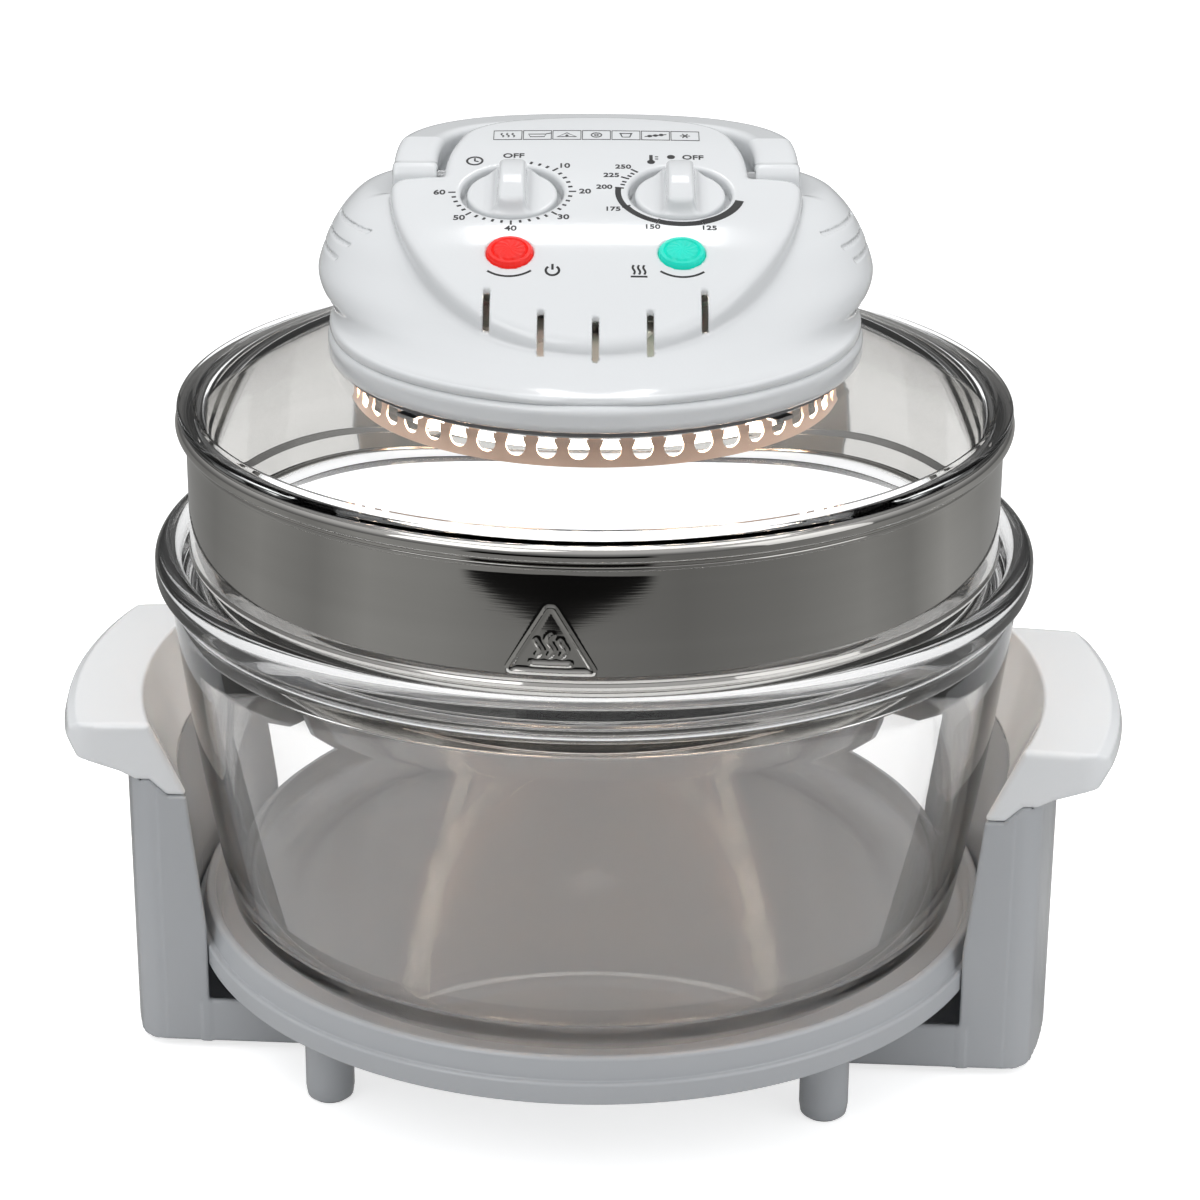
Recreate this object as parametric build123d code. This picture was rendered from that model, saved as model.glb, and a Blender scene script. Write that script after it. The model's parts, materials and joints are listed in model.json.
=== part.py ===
from build123d import *
from math import cos, degrees, radians, sin, sqrt
import os

# Halogen oven: a control head on a glass lid, a steel extender ring, a glass bowl and a base
# with two grips.
# Millimetres. +Z up, origin on the table under the bowl's axis, control panel facing -Y, grips along X.

# ---------------------------------------------------------------- driving dimensions
# base
BASE_TURN = -3.6            # the base as it stands under the head, degrees about +Z
FOOT_RADIUS = 9.2
FOOT_CIRCLE = 132.0
FOOT_PAD_RADIUS = 7.0
FOOT_PAD_HEIGHT = 2.5
FOOT_PAD_DEPTH = 1.5
TRAY_BOTTOM = 36.0
TRAY_LIP_TOP = 53.0
TRAY_LIP_WIDTH = 7.2
TRAY_SIDE_GAP = 6.3         # between the tray's lip and the bowl's heel
TRAY_STEP = 2.4
TRAY_WALL = 2.6
TRAY_FLOOR_TOP = 41.7
BRACKET_HALF_LENGTH = 62.0
BRACKET_BOTTOM = 3.0
BRACKET_WALL = 3.0
BRACKET_CORNER = 8.0
ARM_TOP = 21.0
ARM_INNER_END = 92.0
POST_DEPTH = 24.2
POST_CLEARANCE = 0.3        # between the tray's skirt and the posts
POST_TOP = 113.7
POST_STEP = 6.0
POST_TAPER = 5.3
TOWER_RADIUS = 5.5
TOWER_X = 112.0
TOWER_Y = 48.0
GRIP_TOP = 137.0
GRIP_OVERHANG = 24.0
GRIP_INNER_SLOPE = 10.9
GRIP_SEAT = 0.03
GRIP_NOSE = 10.0
GRIP_WALL = 3.5
SCREW_RADIUS = 2.0
SCREW_HEAD_RADIUS = 3.8
SCREW_HEAD_HEIGHT = 2.4

# glass bowl
BOWL_RIM_RADIUS = 167.0
BOWL_RIM_HEIGHT = 192.0
BOWL_BEAD_RADIUS = 5.0
BOWL_WALL = 5.0
BOWL_SHOULDER_RADIUS = 162.0
BOWL_BELLY_RADIUS = 153.9
BOWL_BELLY_HEIGHT = 117.0
BOWL_HEEL_RADIUS = 143.0
BOWL_HEEL_HEIGHT = 54.5
BOWL_BASE_RADIUS = 119.0
BOWL_LEDGE_HEIGHT = 183.5
BOWL_LEDGE_WIDTH = 9.5

# steel extender ring
RING_SIDE_GAP = 3.5          # between the ring's wall and the bowl's bead
RING_RIM_REACH = 3.8
RING_TOP = 249.0
RING_BEAD_RADIUS = 3.2
RING_SECOND_BEAD_DROP = 11.5
RING_SHEET = 1.0
RING_CREASE_HEIGHT = 196.5
RING_STEP_IN = 2.4
RING_FOOT_WIDTH = 3.6

# glass lid
LID_THICKNESS = 4.0
LID_EDGE_INSET = 0.7
LID_RISE_SHARE = 0.62
LID_HOLE_RADIUS = 93.0
LID_CROWN_TOP = 267.4
LID_LIP_DEPTH = 3.0
LID_LIP_PLAY = 2.5          # between the lid's lip and the ring's wall
LID_LIP_WIDTH = 3.5
CLIP_WIDTH = 9.0
CLIP_REACH = 2.5
CLIP_SHEET = 0.8

# head, lower housing
FLANGE_RADIUS = 99.7
FLANGE_BOTTOM = 269.0
FLANGE_HEIGHT = 10.0
FLANGE_WALL = 3.4
FLANGE_ROUND = 1.4
FLANGE_FLOOR = 1.5
VENT_COUNT = 10
VENT_WIDTH = 4.0
VENT_INNER = 48.0
VENT_OUTER = 62.0
DECK_THICKNESS = 2.5
SPIGOT_DROP = 5.6

# head, upper housing
SHELL_WALL = 2.8
SHELL_FOOT_RADIUS = 95.0
SHELL_HEIGHT = 50.0
LOBE_HALF_WIDTH = 103.8
SHELL_FRONT_REACH = 94.0
SHELL_REAR_REACH = 95.0
PANEL_HALF_WIDTH = 76.5
PANEL_FRONT_REACH = 76.0
PANEL_WIDEST_Y = 15.0
# the panel's ridge line, from its front foot to its rear edge: (y, height above the table)
PANEL_RIDGE = [(-84, 290.5), (-63, 301.5), (-33, 317.0), (5, 328.0), (45, 339.0), (72, 342.6)]
HANDLE_POCKET_FLOOR = 323.0
HANDLE_POCKET_FRONT = 18.0
CROWN_FRONT_HALF = 57.0
CROWN_REAR_HALF = 40.0
CROWN_REAR_Y = 66.5
CROWN_REAR_BOW = 5.5
CROWN_SIDE_BOW = 8.0
SLOT_WIDTH = 2.3
SLOT_RUN = 13.0
SLOT_PITCH = 19.4
SLOT_COUNT = 5
LOUVRE_COUNT = 3
LOUVRE_PITCH = 5.0
LOUVRE_WIDTH = 1.4
LOUVRE_LENGTH = 30.0

# controls
KNOB_X = 31.0
KNOB_Y = 5.0
KNOB_TILT = 15.7
KNOB_RADIUS = 17.0
KNOB_WELL_RADIUS = 19.0
KNOB_WELL_DEPTH = 6.0
KNOB_SKIRT = 5.0
KNOB_BAR_WIDTH = 11.5
KNOB_BAR_HEIGHT = 8.5
KNOB_BAR_DRAFT = 8.0
SPINDLE_RADIUS = 3.0
SPINDLE_LENGTH = 16.0
UNIT_RADIUS = 18.0
UNIT_HEIGHT = 13.0
LENS_X = 31.0
LENS_Y = -34.0
LENS_TILT = 21.0
LENS_RADIUS = 8.4
LENS_FLANGE = 1.6
LENS_SEAT_DEPTH = 6.0
NEON_LENGTH = 9.0

# carry handle, folded round the rear of the head
HANDLE_PIVOT_Y = 24.6
HANDLE_PIVOT_RISE = 5.4        # above the pocket's floor
HANDLE_END_RADIUS = 5.1
HANDLE_DROP = 0.5              # top of the arms below the panel's ridge line
HANDLE_ARM_WIDTH = 16.5
HANDLE_OUTER_HALF = 76.0
HANDLE_REAR_Y = 86.0
HANDLE_BAR_DEPTH = 15.5
HANDLE_THICKNESS = 15.0
PIN_RADIUS = 2.5
PIN_COVER = 3.0             # handle left outside the end of each pin
PLUNGER_RADIUS = 1.6
PLUNGER_Y = 79.0

# drive and heating
MOTOR_RADIUS = 24.0
MOTOR_HEIGHT = 14.0
MOTOR_BOTTOM = 287.5
SHAFT_RADIUS = 3.0
COOLING_FAN_RADIUS = 36.0
COOLING_FAN_BOTTOM = 280.5
COOLING_FAN_HEIGHT = 4.5
HOT_FAN_RADIUS = 36.0
HOT_FAN_BOTTOM = 262.0
HOT_FAN_HEIGHT = 5.5
BLADE_THICKNESS = 1.0
BLADE_PITCH = 32.0
BLADE_COUNT = 6
HUB_RADIUS = 6.5
REFLECTOR_SHEET = 0.8
INSULATION_THICKNESS = 3.0
TUBE_RING_RADIUS = 81.0
TUBE_RADIUS = 5.0
TUBE_GAP_DEGREES = 26.0
TUBE_HEIGHT = 262.4
SHADE_RADIUS = 90.0
SHADE_SHEET = 0.8
SHADE_BOTTOM = 253.0
SHADE_HOLE_RADIUS = 3.7
SHADE_HOLE_HEIGHT = 259.8
SHADE_HOLE_COUNT = 50
GUARD_WIRE_WIDTH = 2.0
GUARD_RING_RADII = (16.0, 34.0, 52.0, 70.0)
GUARD_SPOKES = 8
SHADE_HEM = 4.0
HOLDER_GAP = 0.5
HOLDER_HALF = 4.0
HOLDER_WALL = 1.2
BULB_RADIUS = 2.5
BULB_LENGTH = 40.0
BULB_Y = 64.0
BULB_HEIGHT = 264.0
BRIDGE_SHEET = 1.2
BRIDGE_WIDTH = 22.0
BRIDGE_FOOT = 8.0

# switch, cord entry and fixings
SWITCH_LENGTH = 20.0
SWITCH_DEPTH = 6.5
SWITCH_HEIGHT = 12.0
SWITCH_TAB_WIDTH = 3.0
SWITCH_TAB_SHEET = 0.8
SWITCH_TAB_LENGTH = 5.0
TERMINAL_LENGTH = 30.0
TERMINAL_DEPTH = 14.0
TERMINAL_HEIGHT = 10.0
TERMINAL_HOLE_RADIUS = 1.8
TERMINAL_WAYS = 3
TERMINAL_Y = 62.0
BUSH_LENGTH = 8.0
BUSH_SEAT = 0.965
CORD_HEIGHT = 290.0
BUSH_RADIUS = 6.0
BUSH_BORE = 3.6
BUSH_FLANGE = 2.2
BUSH_PLAY = 0.6
BOSS_HEIGHT = 12.0
BOSS_RIB = 2.4

# clearances
SEAT_GAP = 0.3              # pieces of different bodies that rest on each other
RUN_GAP = 0.05              # radial, spindles in their bores
FIT_GAP = 0.2               # panels and lenses in their cut-outs
BLADE_GAP = 2.0             # fan blades to fixed pieces

os.makedirs("parts", exist_ok=True)

# ---------------------------------------------------------------- sizes that follow
BOWL_BEAD_INNER = BOWL_RIM_RADIUS - 2 * BOWL_BEAD_RADIUS
BOWL_LEDGE_RADIUS = BOWL_BEAD_INNER - BOWL_LEDGE_WIDTH
TRAY_LIP_RADIUS = BOWL_HEEL_RADIUS + TRAY_SIDE_GAP
TRAY_SKIRT_RADIUS = TRAY_LIP_RADIUS + TRAY_LIP_WIDTH
POST_INNER_RADIUS = TRAY_SKIRT_RADIUS + POST_CLEARANCE
POST_OUTER_RADIUS = POST_INNER_RADIUS + POST_DEPTH
GRIP_INNER_RADIUS = POST_INNER_RADIUS + POST_TAPER + GRIP_INNER_SLOPE
GRIP_OUTER_RADIUS = POST_OUTER_RADIUS + GRIP_OVERHANG
HANDLE_PIVOT_HEIGHT = HANDLE_POCKET_FLOOR + HANDLE_PIVOT_RISE
RING_WALL_RADIUS = BOWL_BEAD_INNER - RING_SIDE_GAP
RING_RIM_RADIUS = RING_WALL_RADIUS + RING_RIM_REACH
LID_EDGE_RADIUS = RING_RIM_RADIUS - LID_EDGE_INSET


# ---------------------------------------------------------------- helpers
def save(name, *solids):
    body = solids[0] if len(solids) == 1 else Compound(children=list(solids))
    export_step(body, "parts/" + name + ".step")


def tube(outer, inner, bottom, top):
    ring = Circle(outer) - Circle(inner)
    return extrude(Pos(0, 0, bottom) * ring, top - bottom)


def disc(radius, bottom, top, x=0.0, y=0.0):
    return extrude(Pos(x, y, bottom) * Circle(radius), top - bottom)


def block(x0, x1, y0, y1, z0, z1):
    centre = ((x0 + x1) / 2, (y0 + y1) / 2, (z0 + z1) / 2)
    return Pos(*centre) * Box(x1 - x0, y1 - y0, z1 - z0)


def spun(*edges):
    """Revolve an outline of edges in the radius-height plane about the bowl's axis."""
    return revolve(make_face(edges), Axis.Z)


def path(points):
    """Straight edges through (radius, height) points."""
    spots = [(r, 0, z) for r, z in points]
    return [Line(a, b) for a, b in zip(spots, spots[1:])]


def spun_points(points):
    return spun(*path(points + points[:1]))


def screw(bottom, length, x, y):
    """A screw driven from below: its head at the bottom, its shank upwards."""
    head = disc(SCREW_HEAD_RADIUS, bottom, bottom + SCREW_HEAD_HEIGHT, x, y)
    shank = disc(SCREW_RADIUS, bottom, bottom + length, x, y)
    slot = Pos(x, y, bottom) * Box(SCREW_HEAD_RADIUS, SCREW_RADIUS / 2, SCREW_HEAD_HEIGHT)
    return head + shank - slot


def sides():
    """The two sides of the base: +1 is the right one, seen from the front."""
    return (("left", -1), ("right", 1))


def mirrored(shape, side):
    return shape if side > 0 else mirror(shape, Plane.YZ)


def turned(shape):
    return Rot(0, 0, BASE_TURN) * shape


# ---------------------------------------------------------------- base
def foot_spots():
    reach = FOOT_CIRCLE / sqrt(2)
    return [(x, y) for x in (-reach, reach) for y in (-reach, reach)]


def tower_spots():
    return [(TOWER_X, -TOWER_Y), (TOWER_X, TOWER_Y)]


TRAY_FLOOR_BOTTOM = TRAY_FLOOR_TOP - TRAY_WALL
BOSS_BOTTOM = ARM_TOP + 2 * TRAY_WALL


def base_tray():
    lip_outer = TRAY_SKIRT_RADIUS - TRAY_STEP
    step_height = (TRAY_BOTTOM + TRAY_LIP_TOP) / 2
    inner = TRAY_LIP_RADIUS
    skirt = TRAY_SKIRT_RADIUS
    outline = [
        (0, TRAY_FLOOR_BOTTOM), (inner - TRAY_WALL, TRAY_FLOOR_BOTTOM),
        (lip_outer - TRAY_WALL, step_height - TRAY_WALL), (skirt - TRAY_WALL, step_height - TRAY_WALL),
        (skirt - TRAY_WALL, TRAY_BOTTOM), (skirt, TRAY_BOTTOM), (skirt, step_height),
        (lip_outer, step_height), (lip_outer - TRAY_WALL / 2, TRAY_LIP_TOP), (inner, TRAY_LIP_TOP),
        (inner - TRAY_WALL, TRAY_FLOOR_TOP), (0, TRAY_FLOOR_TOP),
    ]
    tray = spun_points(outline)
    for side in (-1, 1):
        for x, y in tower_spots():
            boss = disc(TOWER_RADIUS, BOSS_BOTTOM, TRAY_FLOOR_BOTTOM, side * x, y)
            tray += boss - disc(SCREW_RADIUS, BOSS_BOTTOM, TRAY_FLOOR_BOTTOM - TRAY_WALL, side * x, y)
    return tray


def feet():
    return [disc(FOOT_RADIUS, FOOT_PAD_HEIGHT - FOOT_PAD_DEPTH, TRAY_FLOOR_BOTTOM, x, y)
            - disc(FOOT_PAD_RADIUS, 0, FOOT_PAD_HEIGHT, x, y) for x, y in foot_spots()]


def foot_pads():
    return [disc(FOOT_PAD_RADIUS, 0, FOOT_PAD_HEIGHT, x, y) for x, y in foot_spots()]


def sector_clip(half_length, bottom, top):
    """The stretch of a turned piece that one side of the base keeps."""
    return block(ARM_INNER_END, 2 * GRIP_OUTER_RADIUS, -half_length, half_length, bottom, top)


POST_SPLIT_RADIUS = (POST_INNER_RADIUS + POST_TAPER + POST_OUTER_RADIUS) / 2


def post_outline(inset, bottom):
    """The post's section; inset moves its walls inwards."""
    low_top = POST_TOP - POST_STEP
    return [
        (POST_INNER_RADIUS + inset, bottom), (POST_OUTER_RADIUS - inset, bottom),
        (POST_OUTER_RADIUS - inset, POST_TOP), (POST_SPLIT_RADIUS + POST_STEP / 2, POST_TOP),
        (POST_SPLIT_RADIUS - POST_STEP / 2, low_top), (POST_INNER_RADIUS + POST_TAPER + inset, low_top),
        (POST_INNER_RADIUS + inset, TRAY_LIP_TOP),
    ]


def side_bracket():
    length = BRACKET_HALF_LENGTH
    shell = spun_points(post_outline(0, BRACKET_BOTTOM)) & sector_clip(length, 0, GRIP_TOP)
    arm_end = POST_INNER_RADIUS + BRACKET_WALL
    arm = block(ARM_INNER_END, arm_end, -length, length, BRACKET_BOTTOM, ARM_TOP)
    arm = arm & disc(arm_end, 0, ARM_TOP)
    ends = [e for e in shell.edges() if abs(e.center().Y) > length - 1]
    outer_edges = [e for e in ends if e.length > POST_TOP / 2 and e.center().X > POST_INNER_RADIUS]
    shell = fillet(outer_edges, BRACKET_CORNER)
    inner_length = length - BRACKET_WALL
    floor = BRACKET_BOTTOM + BRACKET_WALL
    hollow = spun_points(post_outline(BRACKET_WALL, floor)) & sector_clip(inner_length, 0, GRIP_TOP)
    channel = block(ARM_INNER_END + BRACKET_WALL, arm_end, -inner_length, inner_length, floor, ARM_TOP)
    channel = channel & disc(POST_INNER_RADIUS, 0, ARM_TOP)
    bracket = shell + arm - hollow - channel
    for x, y in tower_spots():
        bracket += disc(TOWER_RADIUS, floor, BOSS_BOTTOM, x, y)
        bracket -= disc(SCREW_RADIUS + FIT_GAP, 0, BOSS_BOTTOM, x, y)
        bracket -= disc(SCREW_HEAD_RADIUS + FIT_GAP, 0, BRACKET_BOTTOM + SCREW_HEAD_HEIGHT, x, y)
    return bracket


def grip_outline(inset):
    """The grip's section: a sloped inner wall, a flat top and a rounded nose outside the post."""
    low = POST_TOP - POST_STEP + GRIP_SEAT
    top = POST_TOP + GRIP_SEAT
    nose = GRIP_NOSE
    outer = GRIP_OUTER_RADIUS - inset
    crest = GRIP_TOP - inset
    split = POST_SPLIT_RADIUS
    return [
        (POST_INNER_RADIUS + POST_TAPER + inset, low), (split - POST_STEP / 2, low),
        (split + POST_STEP / 2, top), (POST_OUTER_RADIUS - inset, top),
        (POST_OUTER_RADIUS + nose / 2 - inset, top + nose * 0.35 + inset * 0.8),
        (outer - nose * 0.45, crest - nose * 1.5 + inset * 1.5), (outer, crest - nose * 0.8),
        (outer, crest - nose * 0.45), (outer - nose * 0.4, crest), (GRIP_INNER_RADIUS + inset, crest),
    ]


def grip():
    length = BRACKET_HALF_LENGTH
    body = spun_points(grip_outline(0)) & sector_clip(length, 0, GRIP_TOP)
    reach = GRIP_OUTER_RADIUS * 0.93
    ends = [e for e in body.edges() if e.center().X > reach and abs(e.center().Y) > length - 1]
    body = fillet([e for e in ends if abs(e.tangent_at(0.5).Z) > 0.9], GRIP_NOSE)
    hollow = spun_points(grip_outline(GRIP_WALL)) & sector_clip(length - GRIP_WALL, 0, GRIP_TOP)
    return body - hollow


def make_base():
    save("base_tray", turned(base_tray()))
    save("feet", *[turned(foot) for foot in feet()])
    save("foot_pads", *[turned(pad) for pad in foot_pads()])
    bracket = side_bracket()
    handle = grip()
    screws = []
    for name, side in sides():
        save("side_bracket_" + name, turned(mirrored(bracket, side)))
        save("handle_grip_" + name, turned(mirrored(handle, side)))
        reach = TRAY_FLOOR_BOTTOM - TRAY_WALL - BRACKET_BOTTOM - 1
        for x, y in tower_spots():
            screws.append(turned(screw(BRACKET_BOTTOM, reach, side * x, y)))
    save("bracket_screws", *screws)


# ---------------------------------------------------------------- bowl, ring and lid
def glass_bowl():
    """A straight-sided glass bowl: beaded rim, an inner ledge for the ring, a round heel and a flat base."""
    rim_centre = BOWL_RIM_RADIUS - BOWL_BEAD_RADIUS
    base = TRAY_FLOOR_TOP + SEAT_GAP
    rim_top = BOWL_RIM_HEIGHT + BOWL_BEAD_RADIUS
    neck = BOWL_RIM_HEIGHT - 2 * BOWL_BEAD_RADIUS
    wall = BOWL_WALL
    bead_out = BOWL_RIM_RADIUS
    bead_in = BOWL_BEAD_INNER
    heel_in = BOWL_HEEL_RADIUS - wall
    ledge = BOWL_LEDGE_HEIGHT
    heel = (BOWL_HEEL_RADIUS, 0, BOWL_HEEL_HEIGHT)
    shoulder_in = (BOWL_SHOULDER_RADIUS - wall, 0, ledge - 3 * wall)
    edges = [
        Line((0, 0, base), (BOWL_BASE_RADIUS, 0, base)),
        TangentArc((BOWL_BASE_RADIUS, 0, base), heel, tangent=(1, 0, 0)),
        ThreePointArc(heel, (BOWL_BELLY_RADIUS, 0, BOWL_BELLY_HEIGHT), (BOWL_SHOULDER_RADIUS, 0, neck)),
        Line((BOWL_SHOULDER_RADIUS, 0, neck), (bead_out, 0, neck + BOWL_BEAD_RADIUS)),
        Line((bead_out, 0, neck + BOWL_BEAD_RADIUS), (bead_out, 0, BOWL_RIM_HEIGHT)),
        ThreePointArc((bead_out, 0, BOWL_RIM_HEIGHT), (rim_centre, 0, rim_top),
                      (bead_in, 0, BOWL_RIM_HEIGHT)),
        Line((bead_in, 0, BOWL_RIM_HEIGHT), (bead_in - FIT_GAP, 0, ledge)),
        Line((bead_in - FIT_GAP, 0, ledge), (BOWL_LEDGE_RADIUS, 0, ledge)),
        Line((BOWL_LEDGE_RADIUS, 0, ledge), (BOWL_LEDGE_RADIUS, 0, ledge - wall)),
        Line((BOWL_LEDGE_RADIUS, 0, ledge - wall), shoulder_in),
        ThreePointArc(shoulder_in, (BOWL_BELLY_RADIUS - wall, 0, BOWL_BELLY_HEIGHT),
                      (heel_in, 0, BOWL_HEEL_HEIGHT + wall)),
        TangentArc((BOWL_BASE_RADIUS - wall, 0, base + wall), (heel_in, 0, BOWL_HEEL_HEIGHT + wall),
                   tangent=(1, 0, 0)),
        Line((BOWL_BASE_RADIUS - wall, 0, base + wall), (0, 0, base + wall)),
        Line((0, 0, base + wall), (0, 0, base)),
    ]
    return spun(*edges)


RING_FOOT_BOTTOM = BOWL_LEDGE_HEIGHT + SEAT_GAP
RING_BAND_RADIUS = RING_WALL_RADIUS - RING_STEP_IN


def extender_ring():
    """A rolled steel wall: two rim beads, a crease, and a stepped-in band standing on the bowl's ledge."""
    sheet = RING_SHEET
    bead = RING_BEAD_RADIUS
    wall = RING_WALL_RADIUS
    crease = RING_CREASE_HEIGHT
    foot = RING_FOOT_BOTTOM
    band = RING_BAND_RADIUS
    step = crease - RING_STEP_IN
    inner = band - RING_FOOT_WIDTH
    outline = [
        (wall - sheet, RING_TOP - bead), (wall - sheet, crease + sheet), (band - sheet, step + sheet),
        (band - sheet, foot + sheet), (inner, foot + sheet), (inner, foot), (band, foot), (band, step),
        (wall + sheet / 2, crease - sheet / 2),
        (wall + sheet / 2, crease + sheet), (wall, crease + 2 * sheet), (wall, RING_TOP - bead),
    ]
    ring = spun_points(outline)
    rim = revolve(Pos(RING_RIM_RADIUS - bead, 0, RING_TOP - bead) * (Plane.XZ * Circle(bead)), Axis.Z)
    low = RING_TOP - RING_SECOND_BEAD_DROP
    second = revolve(Pos(wall - sheet / 2, 0, low) * (Plane.XZ * Circle(bead / 2)), Axis.Z)
    groove = revolve(Pos(wall - sheet * 1.5, 0, low) * (Plane.XZ * Circle(bead / 3)), Axis.Z)
    inner_clip = tube(2 * wall, wall - sheet, 0, RING_TOP)
    return ring + rim + (second & inner_clip) - groove


LID_EDGE_BOTTOM = RING_TOP + SEAT_GAP
LID_LIP_OUTER = RING_WALL_RADIUS - RING_SHEET - LID_LIP_PLAY


def glass_lid():
    """A shallow glass dome with a hole for the head and a lip that centres it in the ring."""
    edge = LID_EDGE_BOTTOM
    thick = LID_THICKNESS
    lip = LID_LIP_OUTER
    hole = LID_HOLE_RADIUS
    crown = LID_CROWN_TOP
    flat = FLANGE_RADIUS
    mid = (lip + flat) / 2
    mid_top = edge + thick + (crown - edge - thick) * LID_RISE_SHARE
    lip_in = lip - LID_LIP_WIDTH
    lip_foot = edge - LID_LIP_DEPTH
    edges = [
        Line((LID_EDGE_RADIUS, 0, edge), (LID_EDGE_RADIUS, 0, edge + thick * 0.8)),
        Line((LID_EDGE_RADIUS, 0, edge + thick * 0.8), (lip, 0, edge + thick)),
        ThreePointArc((lip, 0, edge + thick), (mid, 0, mid_top), (flat, 0, crown)),
        Line((flat, 0, crown), (hole, 0, crown)),
        Line((hole, 0, crown), (hole, 0, crown - thick)),
        Line((hole, 0, crown - thick), (flat - 1, 0, crown - thick)),
        ThreePointArc((flat - 1, 0, crown - thick), (mid - 1, 0, mid_top - thick),
                      (lip_in, 0, lip_foot + 1)),
        Line((lip_in, 0, lip_foot + 1), (lip_in + 1, 0, lip_foot)),
        Line((lip_in + 1, 0, lip_foot), (lip, 0, lip_foot)),
        Line((lip, 0, lip_foot), (lip, 0, edge)),
        Line((lip, 0, edge), (LID_EDGE_RADIUS, 0, edge)),
    ]
    return spun(*edges)


def lid_gasket():
    return tube(FLANGE_RADIUS - FLANGE_WALL, LID_HOLE_RADIUS + 1, LID_CROWN_TOP, FLANGE_BOTTOM)


# ---------------------------------------------------------------- head: lower housing
DECK_TOP = FLANGE_BOTTOM + FLANGE_HEIGHT - FLANGE_FLOOR
DECK_BOTTOM = DECK_TOP - DECK_THICKNESS
SHELL_FOOT = DECK_TOP
SPIGOT_RADIUS = LID_HOLE_RADIUS - FIT_GAP * 2
HOUSING_SCREW_CIRCLE = SHADE_RADIUS - SHADE_SHEET - SCREW_HEAD_RADIUS - 1.5


def housing_screw_spots():
    reach = HOUSING_SCREW_CIRCLE / sqrt(2)
    return [(x, y) for x in (-reach, reach) for y in (-reach, reach)]


def lower_housing():
    """The flange that sits on the lid, the deck that carries the works and the spigot in the lid's hole."""
    top = FLANGE_BOTTOM + FLANGE_HEIGHT
    inner = SHADE_RADIUS + FIT_GAP
    flange = disc(FLANGE_RADIUS, FLANGE_BOTTOM, top)
    flange = fillet(flange.edges().filter_by(GeomType.CIRCLE), FLANGE_ROUND)
    flange -= disc(SHELL_FOOT_RADIUS + FIT_GAP, SHELL_FOOT, top)
    housing = flange + disc(SPIGOT_RADIUS, FLANGE_BOTTOM - SPIGOT_DROP, DECK_TOP)
    housing -= disc(inner, FLANGE_BOTTOM - SPIGOT_DROP, DECK_BOTTOM)
    housing -= tube(FLANGE_RADIUS - FLANGE_WALL, SPIGOT_RADIUS, FLANGE_BOTTOM + FLANGE_FLOOR, DECK_BOTTOM)
    housing -= disc(SHAFT_RADIUS + BLADE_GAP, DECK_BOTTOM, DECK_TOP)
    for x, y in housing_screw_spots():
        housing -= disc(SCREW_RADIUS + FIT_GAP, DECK_BOTTOM, DECK_TOP, x, y)
    half = VENT_WIDTH / 2
    for i in range(VENT_COUNT):
        vent = block(VENT_INNER, VENT_OUTER, -half, half, DECK_BOTTOM, DECK_TOP)
        housing -= Rot(0, 0, i * 360 / VENT_COUNT) * vent
    return housing


# ---------------------------------------------------------------- head: upper housing
def shell_dome(inset):
    """The body under the panel: ellipses that swell into two side lobes and close towards the top."""
    rows = [  # share of the height, half width, front reach, rear reach
        (0.00, 0.910, 1.000, 0.990), (0.13, 0.925, 0.935, 1.000), (0.21, 0.948, 0.850, 1.000),
        (0.28, 0.990, 0.765, 0.998), (0.38, 1.000, 0.700, 0.990), (0.53, 0.985, 0.580, 0.978),
        (0.73, 0.935, 0.420, 0.955), (0.90, 0.860, 0.200, 0.925), (1.00, 0.800, -0.100, 0.880),
    ]
    faces = []
    for share, width, front, rear in rows:
        height = SHELL_FOOT + share * SHELL_HEIGHT - (inset if share > 0.9 else 0)
        half = width * LOBE_HALF_WIDTH - inset
        low = -front * SHELL_FRONT_REACH + inset
        high = rear * SHELL_REAR_REACH - inset
        faces.append(Pos(0, (low + high) / 2, height) * Ellipse(half, (high - low) / 2))
    return loft(faces, ruled=True)


def panel_height(y):
    """Height of the panel's ridge line at y."""
    for (y0, z0), (y1, z1) in zip(PANEL_RIDGE, PANEL_RIDGE[1:]):
        if y <= y1:
            return z0 + (z1 - z0) * (y - y0) / (y1 - y0)
    return PANEL_RIDGE[-1][1]


def panel_edge_y(x):
    """The front edge of the panel's plan outline at x."""
    depth = PANEL_FRONT_REACH + PANEL_WIDEST_Y
    return PANEL_WIDEST_Y - depth * sqrt(1 - (x / PANEL_HALF_WIDTH) ** 2)


def panel_plan(inset):
    """Plan of the raised panel: half an ellipse in front, a crown between the handle's arms behind."""
    half = PANEL_HALF_WIDTH - inset
    depth = PANEL_FRONT_REACH + PANEL_WIDEST_Y - inset
    front = Pos(0, PANEL_WIDEST_Y) * Ellipse(half, depth)
    front &= Pos(0, HANDLE_POCKET_FRONT - inset - depth) * Rectangle(2 * half, 2 * depth)
    crown = crown_plan(inset)
    return front + crown


def crown_plan(inset):
    rear = CROWN_REAR_Y - inset
    wide = CROWN_FRONT_HALF - inset
    slim = CROWN_REAR_HALF - inset
    side = ((wide + slim) / 2 + CROWN_SIDE_BOW / 4, (HANDLE_POCKET_FRONT + rear) / 2 + CROWN_SIDE_BOW)
    start = (wide, 0)
    corner = (wide, HANDLE_POCKET_FRONT)
    end = (slim, rear - CROWN_REAR_BOW)
    edges = [
        Line((0, 0), start), Line(start, corner), ThreePointArc(corner, side, end),
        ThreePointArc(end, (0, rear), (-end[0], end[1])),
        ThreePointArc((-end[0], end[1]), (-side[0], side[1]), (-corner[0], corner[1])),
        Line((-corner[0], corner[1]), (-start[0], 0)), Line((-start[0], 0), (0, 0)),
    ]
    return make_face(edges)


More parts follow.
